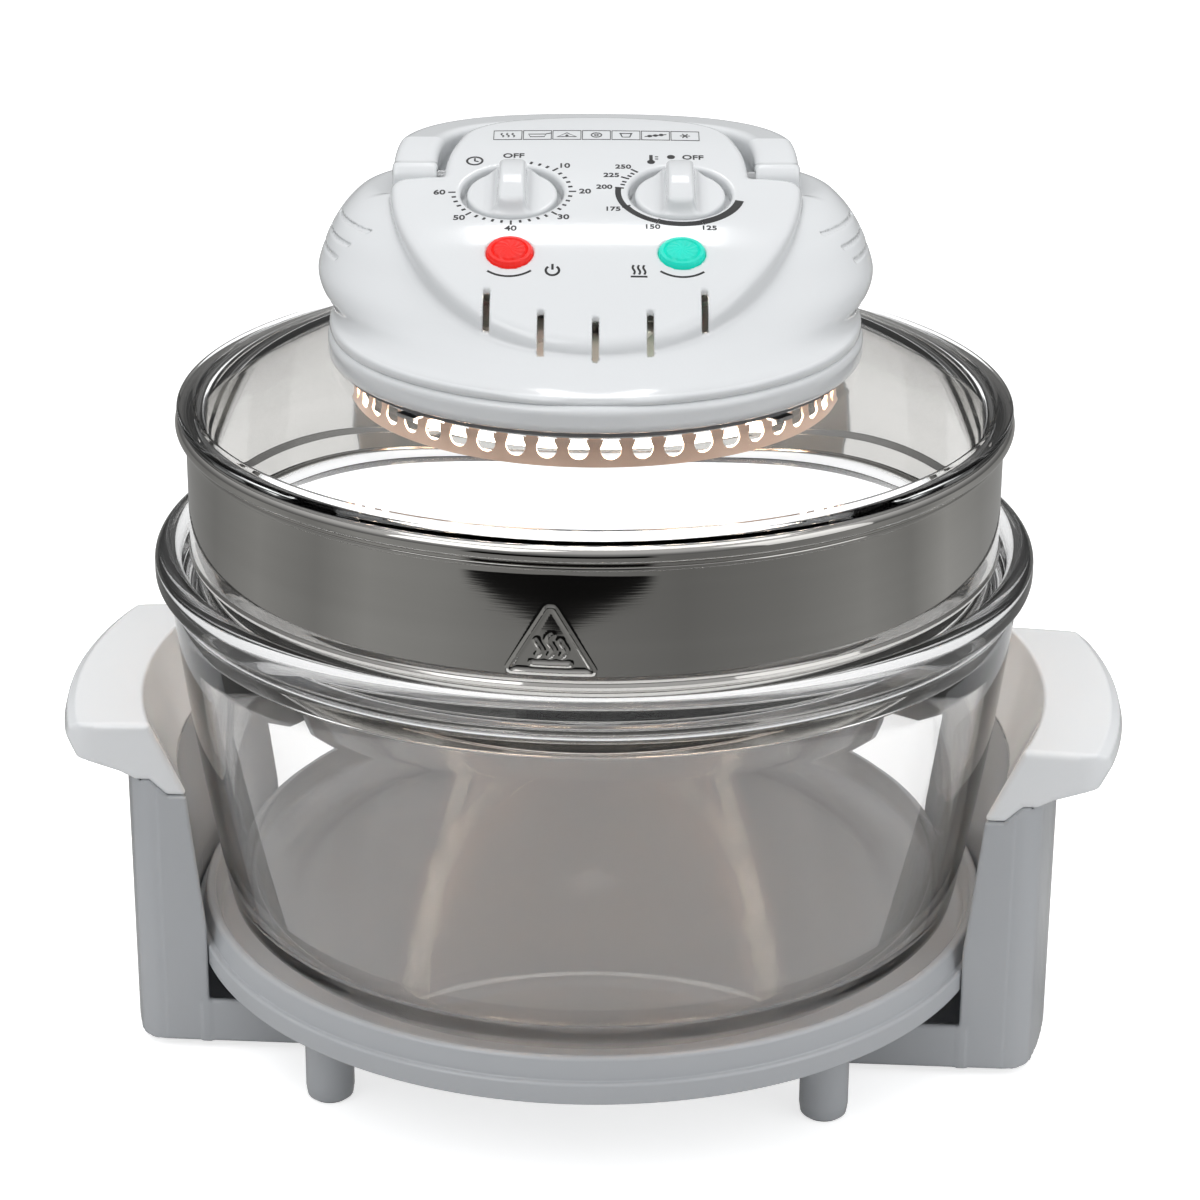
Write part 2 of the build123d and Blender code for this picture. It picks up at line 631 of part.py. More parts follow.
def ridge_prism(inset):
    """Everything under the ridge line, across the whole width of the head."""
    ridge = Polyline(*[(0, y, z - inset) for y, z in PANEL_RIDGE])
    (y0, z0), (y1, z1) = PANEL_RIDGE[0], PANEL_RIDGE[-1]
    far = 2 * SHELL_REAR_REACH
    low = SHELL_FOOT - DECK_THICKNESS
    rest = Polyline((0, y1, z1 - inset), (0, far, z1 - inset), (0, far, low), (0, -far, low),
                    (0, -far, z0 - inset), (0, y0, z0 - inset))
    return extrude(make_face([ridge, rest]), 2 * LOBE_HALF_WIDTH, both=True)


def shell_form(inset):
    """The whole upper housing as one solid, without its openings."""
    far = 2 * LOBE_HALF_WIDTH
    prism = ridge_prism(inset)
    floor = HANDLE_POCKET_FLOOR - inset
    panel = extrude(Pos(0, 0, SHELL_FOOT + DECK_THICKNESS) * panel_plan(inset), SHELL_HEIGHT * 2) & prism
    pocket = block(-far, far, HANDLE_POCKET_FRONT - inset, far, floor, 2 * floor)
    return (shell_dome(inset) & prism) - pocket + panel


def knob_plane(side):
    return Plane(origin=(side * KNOB_X, KNOB_Y, panel_height(KNOB_Y)), x_dir=(1, 0, 0),
                 z_dir=(0, -sin(radians(KNOB_TILT)), cos(radians(KNOB_TILT))))


def lens_plane(side):
    return Plane(origin=(side * LENS_X, LENS_Y, panel_height(LENS_Y)), x_dir=(1, 0, 0),
                 z_dir=(0, -sin(radians(LENS_TILT)), cos(radians(LENS_TILT))))


def on_plane(plane, outer, inner, bottom, top):
    """A disc or tube square to a tilted plane, between two depths measured from it."""
    profile = Circle(outer) - Circle(inner) if inner else Circle(outer)
    return plane * extrude(Pos(0, 0, bottom) * profile, top - bottom)


def pin_axis(x):
    return Plane(origin=(x, HANDLE_PIVOT_Y, HANDLE_PIVOT_HEIGHT), x_dir=(0, 1, 0), z_dir=(1, 0, 0))


def upper_housing():
    """The white head shell with its raised panel, control wells, lens seats, vent slots and louvres."""
    outer = shell_form(0)
    housing = outer - shell_form(SHELL_WALL) - disc(SHELL_FOOT_RADIUS, 0, SHELL_FOOT)
    for side in (-1, 1):
        well = on_plane(knob_plane(side), KNOB_WELL_RADIUS + SHELL_WALL, 0, -KNOB_WELL_DEPTH - SHELL_WALL, 0)
        housing += well & outer
        housing -= on_plane(knob_plane(side), KNOB_WELL_RADIUS, 0, -KNOB_WELL_DEPTH, 2 * KNOB_WELL_DEPTH)
        bush_radius = SPINDLE_RADIUS + SHELL_WALL
        housing -= on_plane(knob_plane(side), bush_radius, 0, -3 * KNOB_WELL_DEPTH, 0)
        seat = on_plane(lens_plane(side), LENS_RADIUS + SHELL_WALL, 0, -LENS_SEAT_DEPTH, 0)
        housing += seat & outer
        bore = LENS_RADIUS + FIT_GAP
        housing -= on_plane(lens_plane(side), bore, 0, -2 * LENS_SEAT_DEPTH, LENS_SEAT_DEPTH)
    for i in range(SLOT_COUNT):
        x = (i - (SLOT_COUNT - 1) / 2) * SLOT_PITCH
        edge = panel_edge_y(x)
        foot = panel_height(edge) + 1
        half = SLOT_WIDTH / 2
        housing -= block(x - half, x + half, edge - 1, edge + SLOT_RUN, foot, foot + 2 * SLOT_RUN)
    for side in (-1, 1):
        for i in range(LOUVRE_COUNT):
            height = SHELL_FOOT + SHELL_HEIGHT * 0.55 + i * LOUVRE_PITCH
            centre = (side * LOBE_HALF_WIDTH, LOUVRE_PITCH * 2, height)
            housing -= Pos(*centre) * Box(LOBE_HALF_WIDTH * 0.6, LOUVRE_LENGTH, LOUVRE_WIDTH)
        seat = extrude(Circle(PIN_RADIUS + RUN_GAP), 3 * SHELL_WALL, both=True)
        housing -= pin_axis(side * CROWN_FRONT_HALF) * seat
    floor = HANDLE_POCKET_FLOOR
    housing -= disc(PLUNGER_RADIUS + FIT_GAP, floor - 2 * SHELL_WALL, floor + 1, 0, PLUNGER_Y)
    bush = Plane(origin=(0, SHELL_REAR_REACH, CORD_HEIGHT), x_dir=(1, 0, 0), z_dir=(0, 1, 0))
    housing -= bush * extrude(Circle(BUSH_RADIUS), 6 * SHELL_WALL, both=True)
    for x, y in housing_screw_spots():
        top = SHELL_FOOT + BOSS_HEIGHT
        boss = disc(SCREW_RADIUS + SHELL_WALL, SHELL_FOOT, top, x, y)
        angle = 45 * (1 if x * y > 0 else -1) + (0 if x > 0 else 180)
        half = BOSS_RIB / 2
        rib = block(HOUSING_SCREW_CIRCLE, SHELL_FOOT_RADIUS, -half, half, SHELL_FOOT, top)
        housing += (boss + Rot(0, 0, angle) * rib) & outer
        housing -= disc(SCREW_RADIUS, SHELL_FOOT, top - SHELL_WALL, x, y)
    return housing


def lens(side):
    """A round indicator lens: a dome proud of the panel and a flange behind it."""
    plane = lens_plane(side)
    dome = plane * (Pos(0, 0, -2 * LENS_RADIUS + LENS_FLANGE) * Sphere(2 * LENS_RADIUS))
    stem = on_plane(plane, LENS_RADIUS, 0, -LENS_SEAT_DEPTH, LENS_FLANGE) & dome
    low = -LENS_SEAT_DEPTH - LENS_FLANGE
    return stem + on_plane(plane, LENS_RADIUS + LENS_FLANGE, 0, low, -LENS_SEAT_DEPTH)


# ---------------------------------------------------------------- controls
def knob(plane):
    """A flat-skirted knob with a raised grip bar and its spindle."""
    low = -KNOB_WELL_DEPTH + SEAT_GAP
    skirt = on_plane(plane, KNOB_RADIUS, 0, low, low + KNOB_SKIRT)
    outline = SlotOverall(2 * KNOB_RADIUS - 2, KNOB_BAR_WIDTH, rotation=90)
    bar = Pos(0, 0, low + KNOB_SKIRT) * extrude(outline, KNOB_BAR_HEIGHT, taper=KNOB_BAR_DRAFT)
    spindle = on_plane(plane, SPINDLE_RADIUS, 0, -KNOB_WELL_DEPTH - SPINDLE_LENGTH, -KNOB_WELL_DEPTH + 1)
    return skirt + plane * bar + spindle


def control_unit(plane):
    """A rotary control under the panel: a round can with a bushing that the spindle turns in."""
    top = -KNOB_WELL_DEPTH - SHELL_WALL
    can = on_plane(plane, UNIT_RADIUS, 0, top - UNIT_HEIGHT, top)
    bushing = on_plane(plane, SPINDLE_RADIUS + SHELL_WALL - FIT_GAP, 0, top, -KNOB_WELL_DEPTH - SEAT_GAP)
    bore = on_plane(plane, SPINDLE_RADIUS + RUN_GAP, 0, -KNOB_WELL_DEPTH - SPINDLE_LENGTH - 1, 0)
    return can + bushing - bore


# ---------------------------------------------------------------- carry handle
def bow_outline(half, start, rear, turn_share):
    """Plan of a bow: straight arms from start, bending into a crossbar that reaches rear."""
    bend = (half, start + (rear - start) * 0.3)
    turn = (half * turn_share, rear - (rear - start) * 0.17)
    knee = (half * (0.5 + turn_share / 2) + half * 0.035, (bend[1] + turn[1]) / 2 + half * 0.035)
    edges = [
        Line((half, start), bend), ThreePointArc(bend, knee, turn),
        ThreePointArc(turn, (0, rear), (-turn[0], turn[1])),
        ThreePointArc((-turn[0], turn[1]), (-knee[0], knee[1]), (-bend[0], bend[1])),
        Line((-bend[0], bend[1]), (-half, start)), Line((-half, start), (half, start)),
    ]
    return make_face(edges)


def handle_plan():
    outer = bow_outline(HANDLE_OUTER_HALF, HANDLE_PIVOT_Y, HANDLE_REAR_Y, 0.7)
    return outer - bow_outline(HANDLE_OUTER_HALF - HANDLE_ARM_WIDTH, HANDLE_PIVOT_Y - 1,
                               HANDLE_REAR_Y - HANDLE_BAR_DEPTH, 0.75)


def carry_handle():
    """A bow that lies flat round the crown and swings up on two pins."""
    bottom = HANDLE_POCKET_FLOOR + SEAT_GAP
    bar = extrude(Pos(0, 0, bottom) * handle_plan(), HANDLE_THICKNESS) & ridge_prism(HANDLE_DROP)
    for side in (-1, 1):
        inner = side * (HANDLE_OUTER_HALF - HANDLE_ARM_WIDTH)
        bar += pin_axis(inner) * extrude(Circle(HANDLE_END_RADIUS), side * HANDLE_ARM_WIDTH)
        bar -= pin_axis(inner) * extrude(Circle(PIN_RADIUS + RUN_GAP), side * (HANDLE_ARM_WIDTH - PIN_COVER))
    return bar


def handle_pins():
    start = CROWN_FRONT_HALF - 2 * SHELL_WALL
    length = HANDLE_OUTER_HALF - PIN_COVER - 1 - start
    return [pin_axis(x) * extrude(Circle(PIN_RADIUS), length) for x in (start, -start - length)]


def plunger():
    """The pin that the folded handle holds down on the safety switch."""
    return disc(PLUNGER_RADIUS, HANDLE_POCKET_FLOOR - 2 * SHELL_WALL, HANDLE_POCKET_FLOOR, 0, PLUNGER_Y)


SWITCH_TOP = HANDLE_POCKET_FLOOR - SHELL_WALL


def safety_switch():
    half = SWITCH_LENGTH / 2
    body = block(-half, half, PLUNGER_Y - SWITCH_DEPTH / 2, PLUNGER_Y + SWITCH_DEPTH / 2,
                 SWITCH_TOP - SWITCH_HEIGHT, SWITCH_TOP)
    depth = SHELL_WALL + SEAT_GAP
    body -= disc(PLUNGER_RADIUS + FIT_GAP, SWITCH_TOP - depth, SWITCH_TOP, 0, PLUNGER_Y)
    low = SWITCH_TOP - SWITCH_HEIGHT
    wide = SWITCH_TAB_WIDTH / 2
    thin = SWITCH_TAB_SHEET / 2
    for x in (-half * 0.6, 0.0, half * 0.6):
        body += block(x - wide, x + wide, PLUNGER_Y - thin, PLUNGER_Y + thin, low - SWITCH_TAB_LENGTH, low)
    return body


# ---------------------------------------------------------------- drive
MOTOR_TOP = MOTOR_BOTTOM + MOTOR_HEIGHT
BRIDGE_TOP = MOTOR_BOTTOM - GRIP_SEAT


def motor():
    """A flat can motor: laminated body, end bells and a through bore for the shaft."""
    body = disc(MOTOR_RADIUS, MOTOR_BOTTOM, MOTOR_TOP)
    body = chamfer(body.edges().filter_by(GeomType.CIRCLE), 2.0)
    return body - disc(SHAFT_RADIUS + RUN_GAP, MOTOR_BOTTOM, MOTOR_TOP)


def motor_bracket():
    """A steel bridge on two legs that lifts the motor over the cooling fan."""
    reach = COOLING_FAN_RADIUS + BLADE_GAP + BRIDGE_SHEET
    half = BRIDGE_WIDTH / 2
    plate = block(-reach, reach, -half, half, BRIDGE_TOP - BRIDGE_SHEET, BRIDGE_TOP)
    plate -= disc(SHAFT_RADIUS + BLADE_GAP, DECK_TOP, BRIDGE_TOP)
    for side in (-1, 1):
        x0, x1 = sorted((side * reach, side * (reach - BRIDGE_SHEET)))
        plate += block(x0, x1, -half, half, DECK_TOP, BRIDGE_TOP)
        x0, x1 = sorted((side * reach, side * (reach + BRIDGE_FOOT)))
        plate += block(x0, x1, -half, half, DECK_TOP, DECK_TOP + BRIDGE_SHEET)
    return plate


def shaft():
    return disc(SHAFT_RADIUS, HOT_FAN_BOTTOM - 3, MOTOR_TOP + 4)


def fan(radius, bottom, height):
    """Pitched flat blades on a hub."""
    blades = disc(HUB_RADIUS, bottom, bottom + height)
    mid = bottom + height / 2
    blade = Box(radius - HUB_RADIUS + 2, height / sin(radians(BLADE_PITCH)) * 0.9, BLADE_THICKNESS)
    for i in range(BLADE_COUNT):
        spot = Rot(0, 0, i * 360 / BLADE_COUNT) * Pos((radius + HUB_RADIUS) / 2 - 1, 0, mid)
        blades += spot * Rot(BLADE_PITCH, 0, 0) * blade
    blades = blades & disc(radius, bottom, bottom + height)
    return blades - disc(SHAFT_RADIUS, bottom, bottom + height)


# ---------------------------------------------------------------- heating
REFLECTOR_TOP = DECK_BOTTOM - INSULATION_THICKNESS
REFLECTOR_BOTTOM = REFLECTOR_TOP - REFLECTOR_SHEET


def insulation():
    outer = HOUSING_SCREW_CIRCLE - SCREW_HEAD_RADIUS - 1
    return tube(outer, SHAFT_RADIUS + BLADE_GAP, REFLECTOR_TOP, DECK_BOTTOM)


def reflector_plate():
    return tube(SHADE_RADIUS - SHADE_SHEET, SHAFT_RADIUS + BLADE_GAP, REFLECTOR_BOTTOM, REFLECTOR_TOP)


def perforated_shade():
    """The steel skirt round the lamp with one row of round holes and a hem at its foot."""
    shade = tube(SHADE_RADIUS, SHADE_RADIUS - SHADE_SHEET, SHADE_BOTTOM, DECK_BOTTOM)
    shade += tube(SHADE_RADIUS, SHADE_RADIUS - SHADE_HEM, SHADE_BOTTOM, SHADE_BOTTOM + SHADE_SHEET)
    drill = Plane(origin=(0, 0, SHADE_HOLE_HEIGHT), x_dir=(0, 1, 0), z_dir=(1, 0, 0))
    bar = drill * extrude(Circle(SHADE_HOLE_RADIUS), SHADE_RADIUS + 2)
    holes = [Rot(0, 0, i * 360 / SHADE_HOLE_COUNT) * bar for i in range(SHADE_HOLE_COUNT)]
    core = disc(SHADE_RADIUS - 4 * SHADE_SHEET, SHADE_BOTTOM, DECK_BOTTOM)
    return shade - [hole - core for hole in holes]


def halogen_tube():
    """A nearly closed glass ring; its two pinched ends meet the holders at the rear."""
    profile = Pos(TUBE_RING_RADIUS, 0, TUBE_HEIGHT) * (Plane.XZ * Circle(TUBE_RADIUS))
    ring = revolve(profile, Axis.Z, 360 - TUBE_GAP_DEGREES)
    return Rot(0, 0, 90 + TUBE_GAP_DEGREES / 2) * ring


def tube_holders():
    """Ceramic blocks between the reflector and the ends of the lamp."""
    blocks = []
    for side in (-1, 1):
        turn = degrees((HOLDER_HALF + HOLDER_GAP) / TUBE_RING_RADIUS)
        angle = 90 + side * (TUBE_GAP_DEGREES / 2 - turn)
        size = TUBE_RADIUS + HOLDER_WALL
        piece = Pos(TUBE_RING_RADIUS, 0, 0) * block(-size, size, -HOLDER_HALF, HOLDER_HALF,
                                                    TUBE_HEIGHT - size, REFLECTOR_BOTTOM)
        blocks.append(Rot(0, 0, angle) * piece)
    return blocks


def fan_guard():
    """Concentric wires on crossing spokes under the lamp and the fan, clipped inside the shade."""
    low = SHADE_BOTTOM + SHADE_SHEET
    wire = GUARD_WIRE_WIDTH
    radii = GUARD_RING_RADII + (SHADE_RADIUS - SHADE_SHEET - FIT_GAP - wire,)
    guard = [tube(radius + wire, radius, low, low + wire) for radius in radii]
    half = wire / 2
    spoke = block(radii[0] + half, radii[-1] + half, -half, half, low + half, low + wire + half)
    spokes = [Rot(0, 0, i * 360 / GUARD_SPOKES) * spoke for i in range(GUARD_SPOKES)]
    return guard[0] + (guard[1:] + spokes)


def thermostat_bulb():
    """The sensing bulb beside the lamp, on a stem through the deck."""
    bulb = Pos(0, -BULB_Y, BULB_HEIGHT) * (Plane.YZ * Circle(BULB_RADIUS))
    bulb = extrude(bulb, BULB_LENGTH / 2, both=True)
    return bulb + disc(BULB_RADIUS * 0.7, BULB_HEIGHT, REFLECTOR_BOTTOM, 0, -BULB_Y)


def neon_lamps():
    lamps = []
    for side in (-1, 1):
        plane = lens_plane(side)
        top = -LENS_SEAT_DEPTH - LENS_FLANGE
        lamps.append(on_plane(plane, LENS_RADIUS * 0.6, 0, top - NEON_LENGTH, top))
    return lamps


def terminal_block():
    half = TERMINAL_LENGTH / 2
    deep = TERMINAL_DEPTH / 2
    top = DECK_TOP + TERMINAL_HEIGHT
    body = block(-half, half, TERMINAL_Y - deep, TERMINAL_Y + deep, DECK_TOP, top)
    for i in range(TERMINAL_WAYS):
        x = (i - (TERMINAL_WAYS - 1) / 2) * TERMINAL_LENGTH / TERMINAL_WAYS
        body -= disc(TERMINAL_HOLE_RADIUS, top - TERMINAL_HEIGHT / 2, top, x, TERMINAL_Y)
    return body


def cord_bush():
    """The bush in the rear wall that the supply cord would pass through."""
    plane = Plane(origin=(0, SHELL_REAR_REACH * BUSH_SEAT, CORD_HEIGHT), x_dir=(1, 0, 0), z_dir=(0, 1, 0))
    flange = BUSH_RADIUS + BUSH_FLANGE
    body = extrude(Circle(BUSH_RADIUS), BUSH_LENGTH) + extrude(Circle(flange), -BUSH_FLANGE)
    collar = Pos(0, 0, SHELL_WALL + BUSH_PLAY) * extrude(Circle(flange), BUSH_FLANGE)
    return plane * (body + collar - extrude(Circle(BUSH_BORE), 2 * BUSH_LENGTH, both=True))


def lid_clips():
    """Small steel tabs under the spigot that hold the glass up against the gasket."""
    top = min(LID_CROWN_TOP - LID_THICKNESS, FLANGE_BOTTOM - SPIGOT_DROP)
    tab = block(SHADE_RADIUS + FIT_GAP, LID_HOLE_RADIUS + CLIP_REACH, -CLIP_WIDTH / 2, CLIP_WIDTH / 2,
                top - CLIP_SHEET, top)
    return [Rot(0, 0, angle) * tab for angle in (45, 135, 225, 315)]


# ---------------------------------------------------------------- write the parts
def make_lid_and_head():
    save("glass_lid", glass_lid())
    save("lid_gasket", lid_gasket())
    save("lower_housing", lower_housing())
    save("upper_housing", upper_housing())
    save("power_lens", lens(-1))
    save("heat_lens", lens(1))
    save("neon_lamps", *neon_lamps())
    save("timer_unit", control_unit(knob_plane(-1)))
    save("thermostat_unit", control_unit(knob_plane(1)))
    save("thermostat_bulb", thermostat_bulb())
    save("safety_switch", safety_switch())
    save("motor", motor())
    save("motor_bracket", motor_bracket())
    save("insulation", insulation())
    save("reflector_plate", reflector_plate())
    save("halogen_tube", halogen_tube())
    save("tube_holders", *tube_holders())
    save("lid_clips", *lid_clips())
    save("perforated_shade", perforated_shade())
    save("fan_guard", fan_guard())
    save("handle_pins", *handle_pins())
    low = DECK_BOTTOM - SCREW_HEAD_HEIGHT
    reach = SHELL_FOOT + BOSS_HEIGHT - SHELL_WALL - 1 - low
    save("housing_screws", *[screw(low, reach, x, y) for x, y in housing_screw_spots()])
    save("terminal_block", terminal_block())
    save("cord_bush", cord_bush())


def make_moving():
    save("timer_knob", knob(knob_plane(-1)))
    save("thermostat_knob", knob(knob_plane(1)))
    save("carry_handle", carry_handle())
    save("switch_plunger", plunger())
    save("motor_shaft", shaft())
    save("cooling_fan", fan(COOLING_FAN_RADIUS, COOLING_FAN_BOTTOM, COOLING_FAN_HEIGHT))
    save("convection_fan", fan(HOT_FAN_RADIUS, HOT_FAN_BOTTOM, HOT_FAN_HEIGHT))


make_base()
save("glass_bowl", glass_bowl())
save("extender_ring", extender_ring())
make_lid_and_head()
make_moving()
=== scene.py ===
import json
from math import atan2, ceil, cos, hypot, pi, radians, sin, sqrt, tan

import bmesh
import bpy
import numpy as np
import openvdb
from mathutils import Matrix, Vector


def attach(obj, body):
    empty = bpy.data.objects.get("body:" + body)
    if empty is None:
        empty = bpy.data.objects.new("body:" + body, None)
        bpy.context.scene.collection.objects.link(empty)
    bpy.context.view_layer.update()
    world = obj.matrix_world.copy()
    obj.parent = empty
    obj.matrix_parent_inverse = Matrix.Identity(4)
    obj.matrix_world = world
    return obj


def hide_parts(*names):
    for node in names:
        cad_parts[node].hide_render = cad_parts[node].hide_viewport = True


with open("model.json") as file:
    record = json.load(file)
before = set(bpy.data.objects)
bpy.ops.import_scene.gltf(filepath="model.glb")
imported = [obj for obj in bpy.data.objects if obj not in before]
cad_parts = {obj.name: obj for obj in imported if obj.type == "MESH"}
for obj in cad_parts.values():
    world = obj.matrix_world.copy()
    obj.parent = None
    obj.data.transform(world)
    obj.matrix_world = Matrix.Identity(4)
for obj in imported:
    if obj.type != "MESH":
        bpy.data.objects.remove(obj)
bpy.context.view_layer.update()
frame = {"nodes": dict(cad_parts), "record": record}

MM = 0.001
scene = bpy.context.scene
scene.view_settings.view_transform = "Standard"

# Sizes are in millimetres, in the frame of the CAD part: +Z up, origin on the table under the bowl's axis,
# control panel facing -Y. The base stands turned under the head.
BASE_TURN = radians(-3.6)


# ======== outlines
STRAIGHT = 0.02  # radians; a corner nearer to straight than this stays as it is
CORNER_SHARE = 0.49  # the most of an edge that the rounding of one corner takes up


def swept(centre, radius, start, turn, count):
    """Points along an arc, its angles in radians."""
    return [(centre[0] + radius * cos(start + turn * i / count),
             centre[1] + radius * sin(start + turn * i / count)) for i in range(count + 1)]


def arc_through(start, middle, end, count=24):
    """Points of the circle through three (radius, height) points, from start to end."""
    (ax, ay), (bx, by), (cx, cy) = start, middle, end
    d = 2 * (ax * (by - cy) + bx * (cy - ay) + cx * (ay - by))
    ux = ((ax**2 + ay**2) * (by - cy) + (bx**2 + by**2) * (cy - ay) + (cx**2 + cy**2) * (ay - by)) / d
    uy = ((ax**2 + ay**2) * (cx - bx) + (bx**2 + by**2) * (ax - cx) + (cx**2 + cy**2) * (bx - ax)) / d
    radius = hypot(ax - ux, ay - uy)
    a0 = atan2(ay - uy, ax - ux)
    a1 = atan2(by - uy, bx - ux)
    a2 = atan2(cy - uy, cx - ux)
    way = 1 if (a1 - a0) % (2 * pi) < (a2 - a0) % (2 * pi) else -1
    sweep = (way * (a2 - a0)) % (2 * pi) * way
    return swept((ux, uy), radius, a0, sweep, count)


def rounded(corners, step=radians(10)):
    """A closed outline: each corner is (radius, height, rounding), and its arc replaces it."""
    points = []
    total = len(corners)
    for i, (x, y, rounding) in enumerate(corners):
        here = Vector((x, y))
        before = Vector(corners[i - 1][:2]) - here
        after = Vector(corners[(i + 1) % total][:2]) - here
        angle = before.angle(after, 0) if before.length and after.length else 0
        if rounding <= 0 or angle < STRAIGHT or angle > pi - STRAIGHT:
            points.append((x, y))
            continue
        reach = min(rounding / tan(angle / 2), before.length * CORNER_SHARE, after.length * CORNER_SHARE)
        radius = reach * tan(angle / 2)
        bisector = (before.normalized() + after.normalized()).normalized()
        centre = here + bisector * (radius / sin(angle / 2))
        first = here + before.normalized() * reach - centre
        last = here + after.normalized() * reach - centre
        turn = atan2(first.x * last.y - first.y * last.x, first.dot(last))
        count = max(2, ceil(abs(turn) / step))
        points += swept(centre, radius, atan2(first.y, first.x), turn, count)
    return points


def smooth_curve(knots):
    """A smooth curve through (x, y) knots, as a function of numbers or arrays."""
    kx, ky = np.array(knots, float).T
    slope = np.gradient(ky, kx)

    def at(x):
        x = np.clip(x, kx[0], kx[-1])
        i = np.clip(np.searchsorted(kx, x) - 1, 0, len(kx) - 2)
        h = kx[i + 1] - kx[i]
        t = (x - kx[i]) / h
        a = ky[i] * (1 + 2 * t) * (1 - t) ** 2 + slope[i] * h * t * (1 - t) ** 2
        b = ky[i + 1] * t**2 * (3 - 2 * t) - slope[i + 1] * h * t**2 * (1 - t)
        return a + b

    return at


# ======== distance fields
def smax(a, b, k):
    """The larger of two fields, rounded where they meet."""
    h = np.clip(0.5 + 0.5 * (a - b) / k, 0, 1)
    return b * (1 - h) + a * h + k * h * (1 - h)


def smin(a, b, k):
    """The smaller of two fields, rounded where they meet."""
    return -smax(-a, -b, k)


def polygon_field(corners):
    """Signed distance to a closed polygon, negative inside."""
    def at(u, v):
        best = None
        inside = None
        for (x0, y0), (x1, y1) in zip(corners, corners[1:] + corners[:1]):
            ex, ey = x1 - x0, y1 - y0
            t = np.clip(((u - x0) * ex + (v - y0) * ey) / (ex * ex + ey * ey), 0, 1)
            d = (u - x0 - t * ex) ** 2 + (v - y0 - t * ey) ** 2
            best = d if best is None else np.minimum(best, d)
            if ey:
                cross = ((y0 > v) != (y1 > v)) & (u < x0 + ex * (v - y0) / ey)
                inside = cross if inside is None else inside ^ cross
        return np.where(inside, -1, 1) * np.sqrt(best)

    return at


# ======== pieces
LATHE_SEGMENTS = 256
WELD = 1e-7  # metres between points that become one
TINY = 1e-9  # keeps a division from failing
BACKGROUND = 10.0  # the field's value away from the grid
SETTLE_STEPS = 3  # moves of a sculpted point onto the surface
SETTLE_REACH = 0.6  # the longest move, in grid steps
LEAST_SLOPE = 0.05  # the least squared slope that a move divides by
SLOPE_STEP, NORMAL_STEP = 0.05, 0.12  # half-steps of the slope for the moves and for the normals


def link(name, mesh, body, slot, replaces=(), material=None):
    """Puts a piece in the scene; material stands in where it isn't the slot's own finish."""
    piece = bpy.data.objects.new(name, mesh)
    scene.collection.objects.link(piece)
    mesh.materials.append(material or finishes[slot])
    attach(piece, body)
    if replaces:
        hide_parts(*replaces)
    return piece


def mesh_from(name, points, faces, sharp=32.0):
    """A smooth-shaded mesh of points in millimetres, with edges over sharp degrees kept crisp."""
    mesh = bpy.data.meshes.new(name)
    mesh.from_pydata([tuple(p) for p in np.asarray(points, float) * MM], [], faces)
    mesh.validate()
    work = bmesh.new()
    work.from_mesh(mesh)
    bmesh.ops.remove_doubles(work, verts=work.verts, dist=WELD)
    bmesh.ops.recalc_face_normals(work, faces=work.faces)
    work.to_mesh(mesh)
    work.free()
    mesh.polygons.foreach_set("use_smooth", [True] * len(mesh.polygons))
    mesh.set_sharp_from_angle(angle=radians(sharp))
    return mesh


def lathe_grid(outline, angles, radial=None):
    """Points and faces of a closed outline spun through the angles, all the way round."""
    points = []
    for a in angles:
        for r, z in outline:
            reach = r + (radial(r, z, a) if radial else 0)
            points.append((reach * cos(a), reach * sin(a), z))
    n, m = len(outline), len(angles)
    faces = []
    for i in range(m):
        j = (i + 1) % m
        for k in range(n):
            l = (k + 1) % n
            faces.append((i * n + k, j * n + k, j * n + l, i * n + l))
    return points, faces


def full_turn(count):
    return [2 * pi * i / count for i in range(count)]


def lathe(name, outline, body, slot, replaces=(), sharp=32.0):
    points, faces = lathe_grid(outline, full_turn(LATHE_SEGMENTS))
    return link(name, mesh_from(name, points, faces, sharp), body, slot, replaces)


def sculpt(field, low, high, pitch):
    """Quads on a field's zero surface, their corners moved onto it, with the field's own normals."""
    axes = [np.arange(a - 2 * pitch, b + 3 * pitch, pitch) for a, b in zip(low, high)]
    x, y, z = np.meshgrid(*axes, indexing="ij", sparse=True)
    values = np.broadcast_to(field(x, y, z), [len(a) for a in axes])
    grid = openvdb.FloatGrid(BACKGROUND)
    grid.copyFromArray(np.ascontiguousarray(values, dtype=np.float32))
    points, quads = grid.convertToQuads(isovalue=0.0)
    points = points.astype(float) * pitch + np.array([a[0] for a in axes])

    def slope(step):
        sides = [field(*(points + way).T) - field(*(points - way).T) for way in np.eye(3) * step]
        return np.stack(sides, -1) / (2 * step)

    for _ in range(SETTLE_STEPS):
        g = slope(SLOPE_STEP)
        size = np.maximum((g * g).sum(-1), LEAST_SLOPE)
        move = field(*points.T)[:, None] * g / size[:, None]
        length = np.linalg.norm(move, axis=1, keepdims=True)
        points -= move * np.minimum(1, SETTLE_REACH * pitch / np.maximum(length, TINY))
    normals = slope(NORMAL_STEP)
    normals /= np.maximum(np.linalg.norm(normals, axis=1, keepdims=True), TINY)
    return points, quads, normals


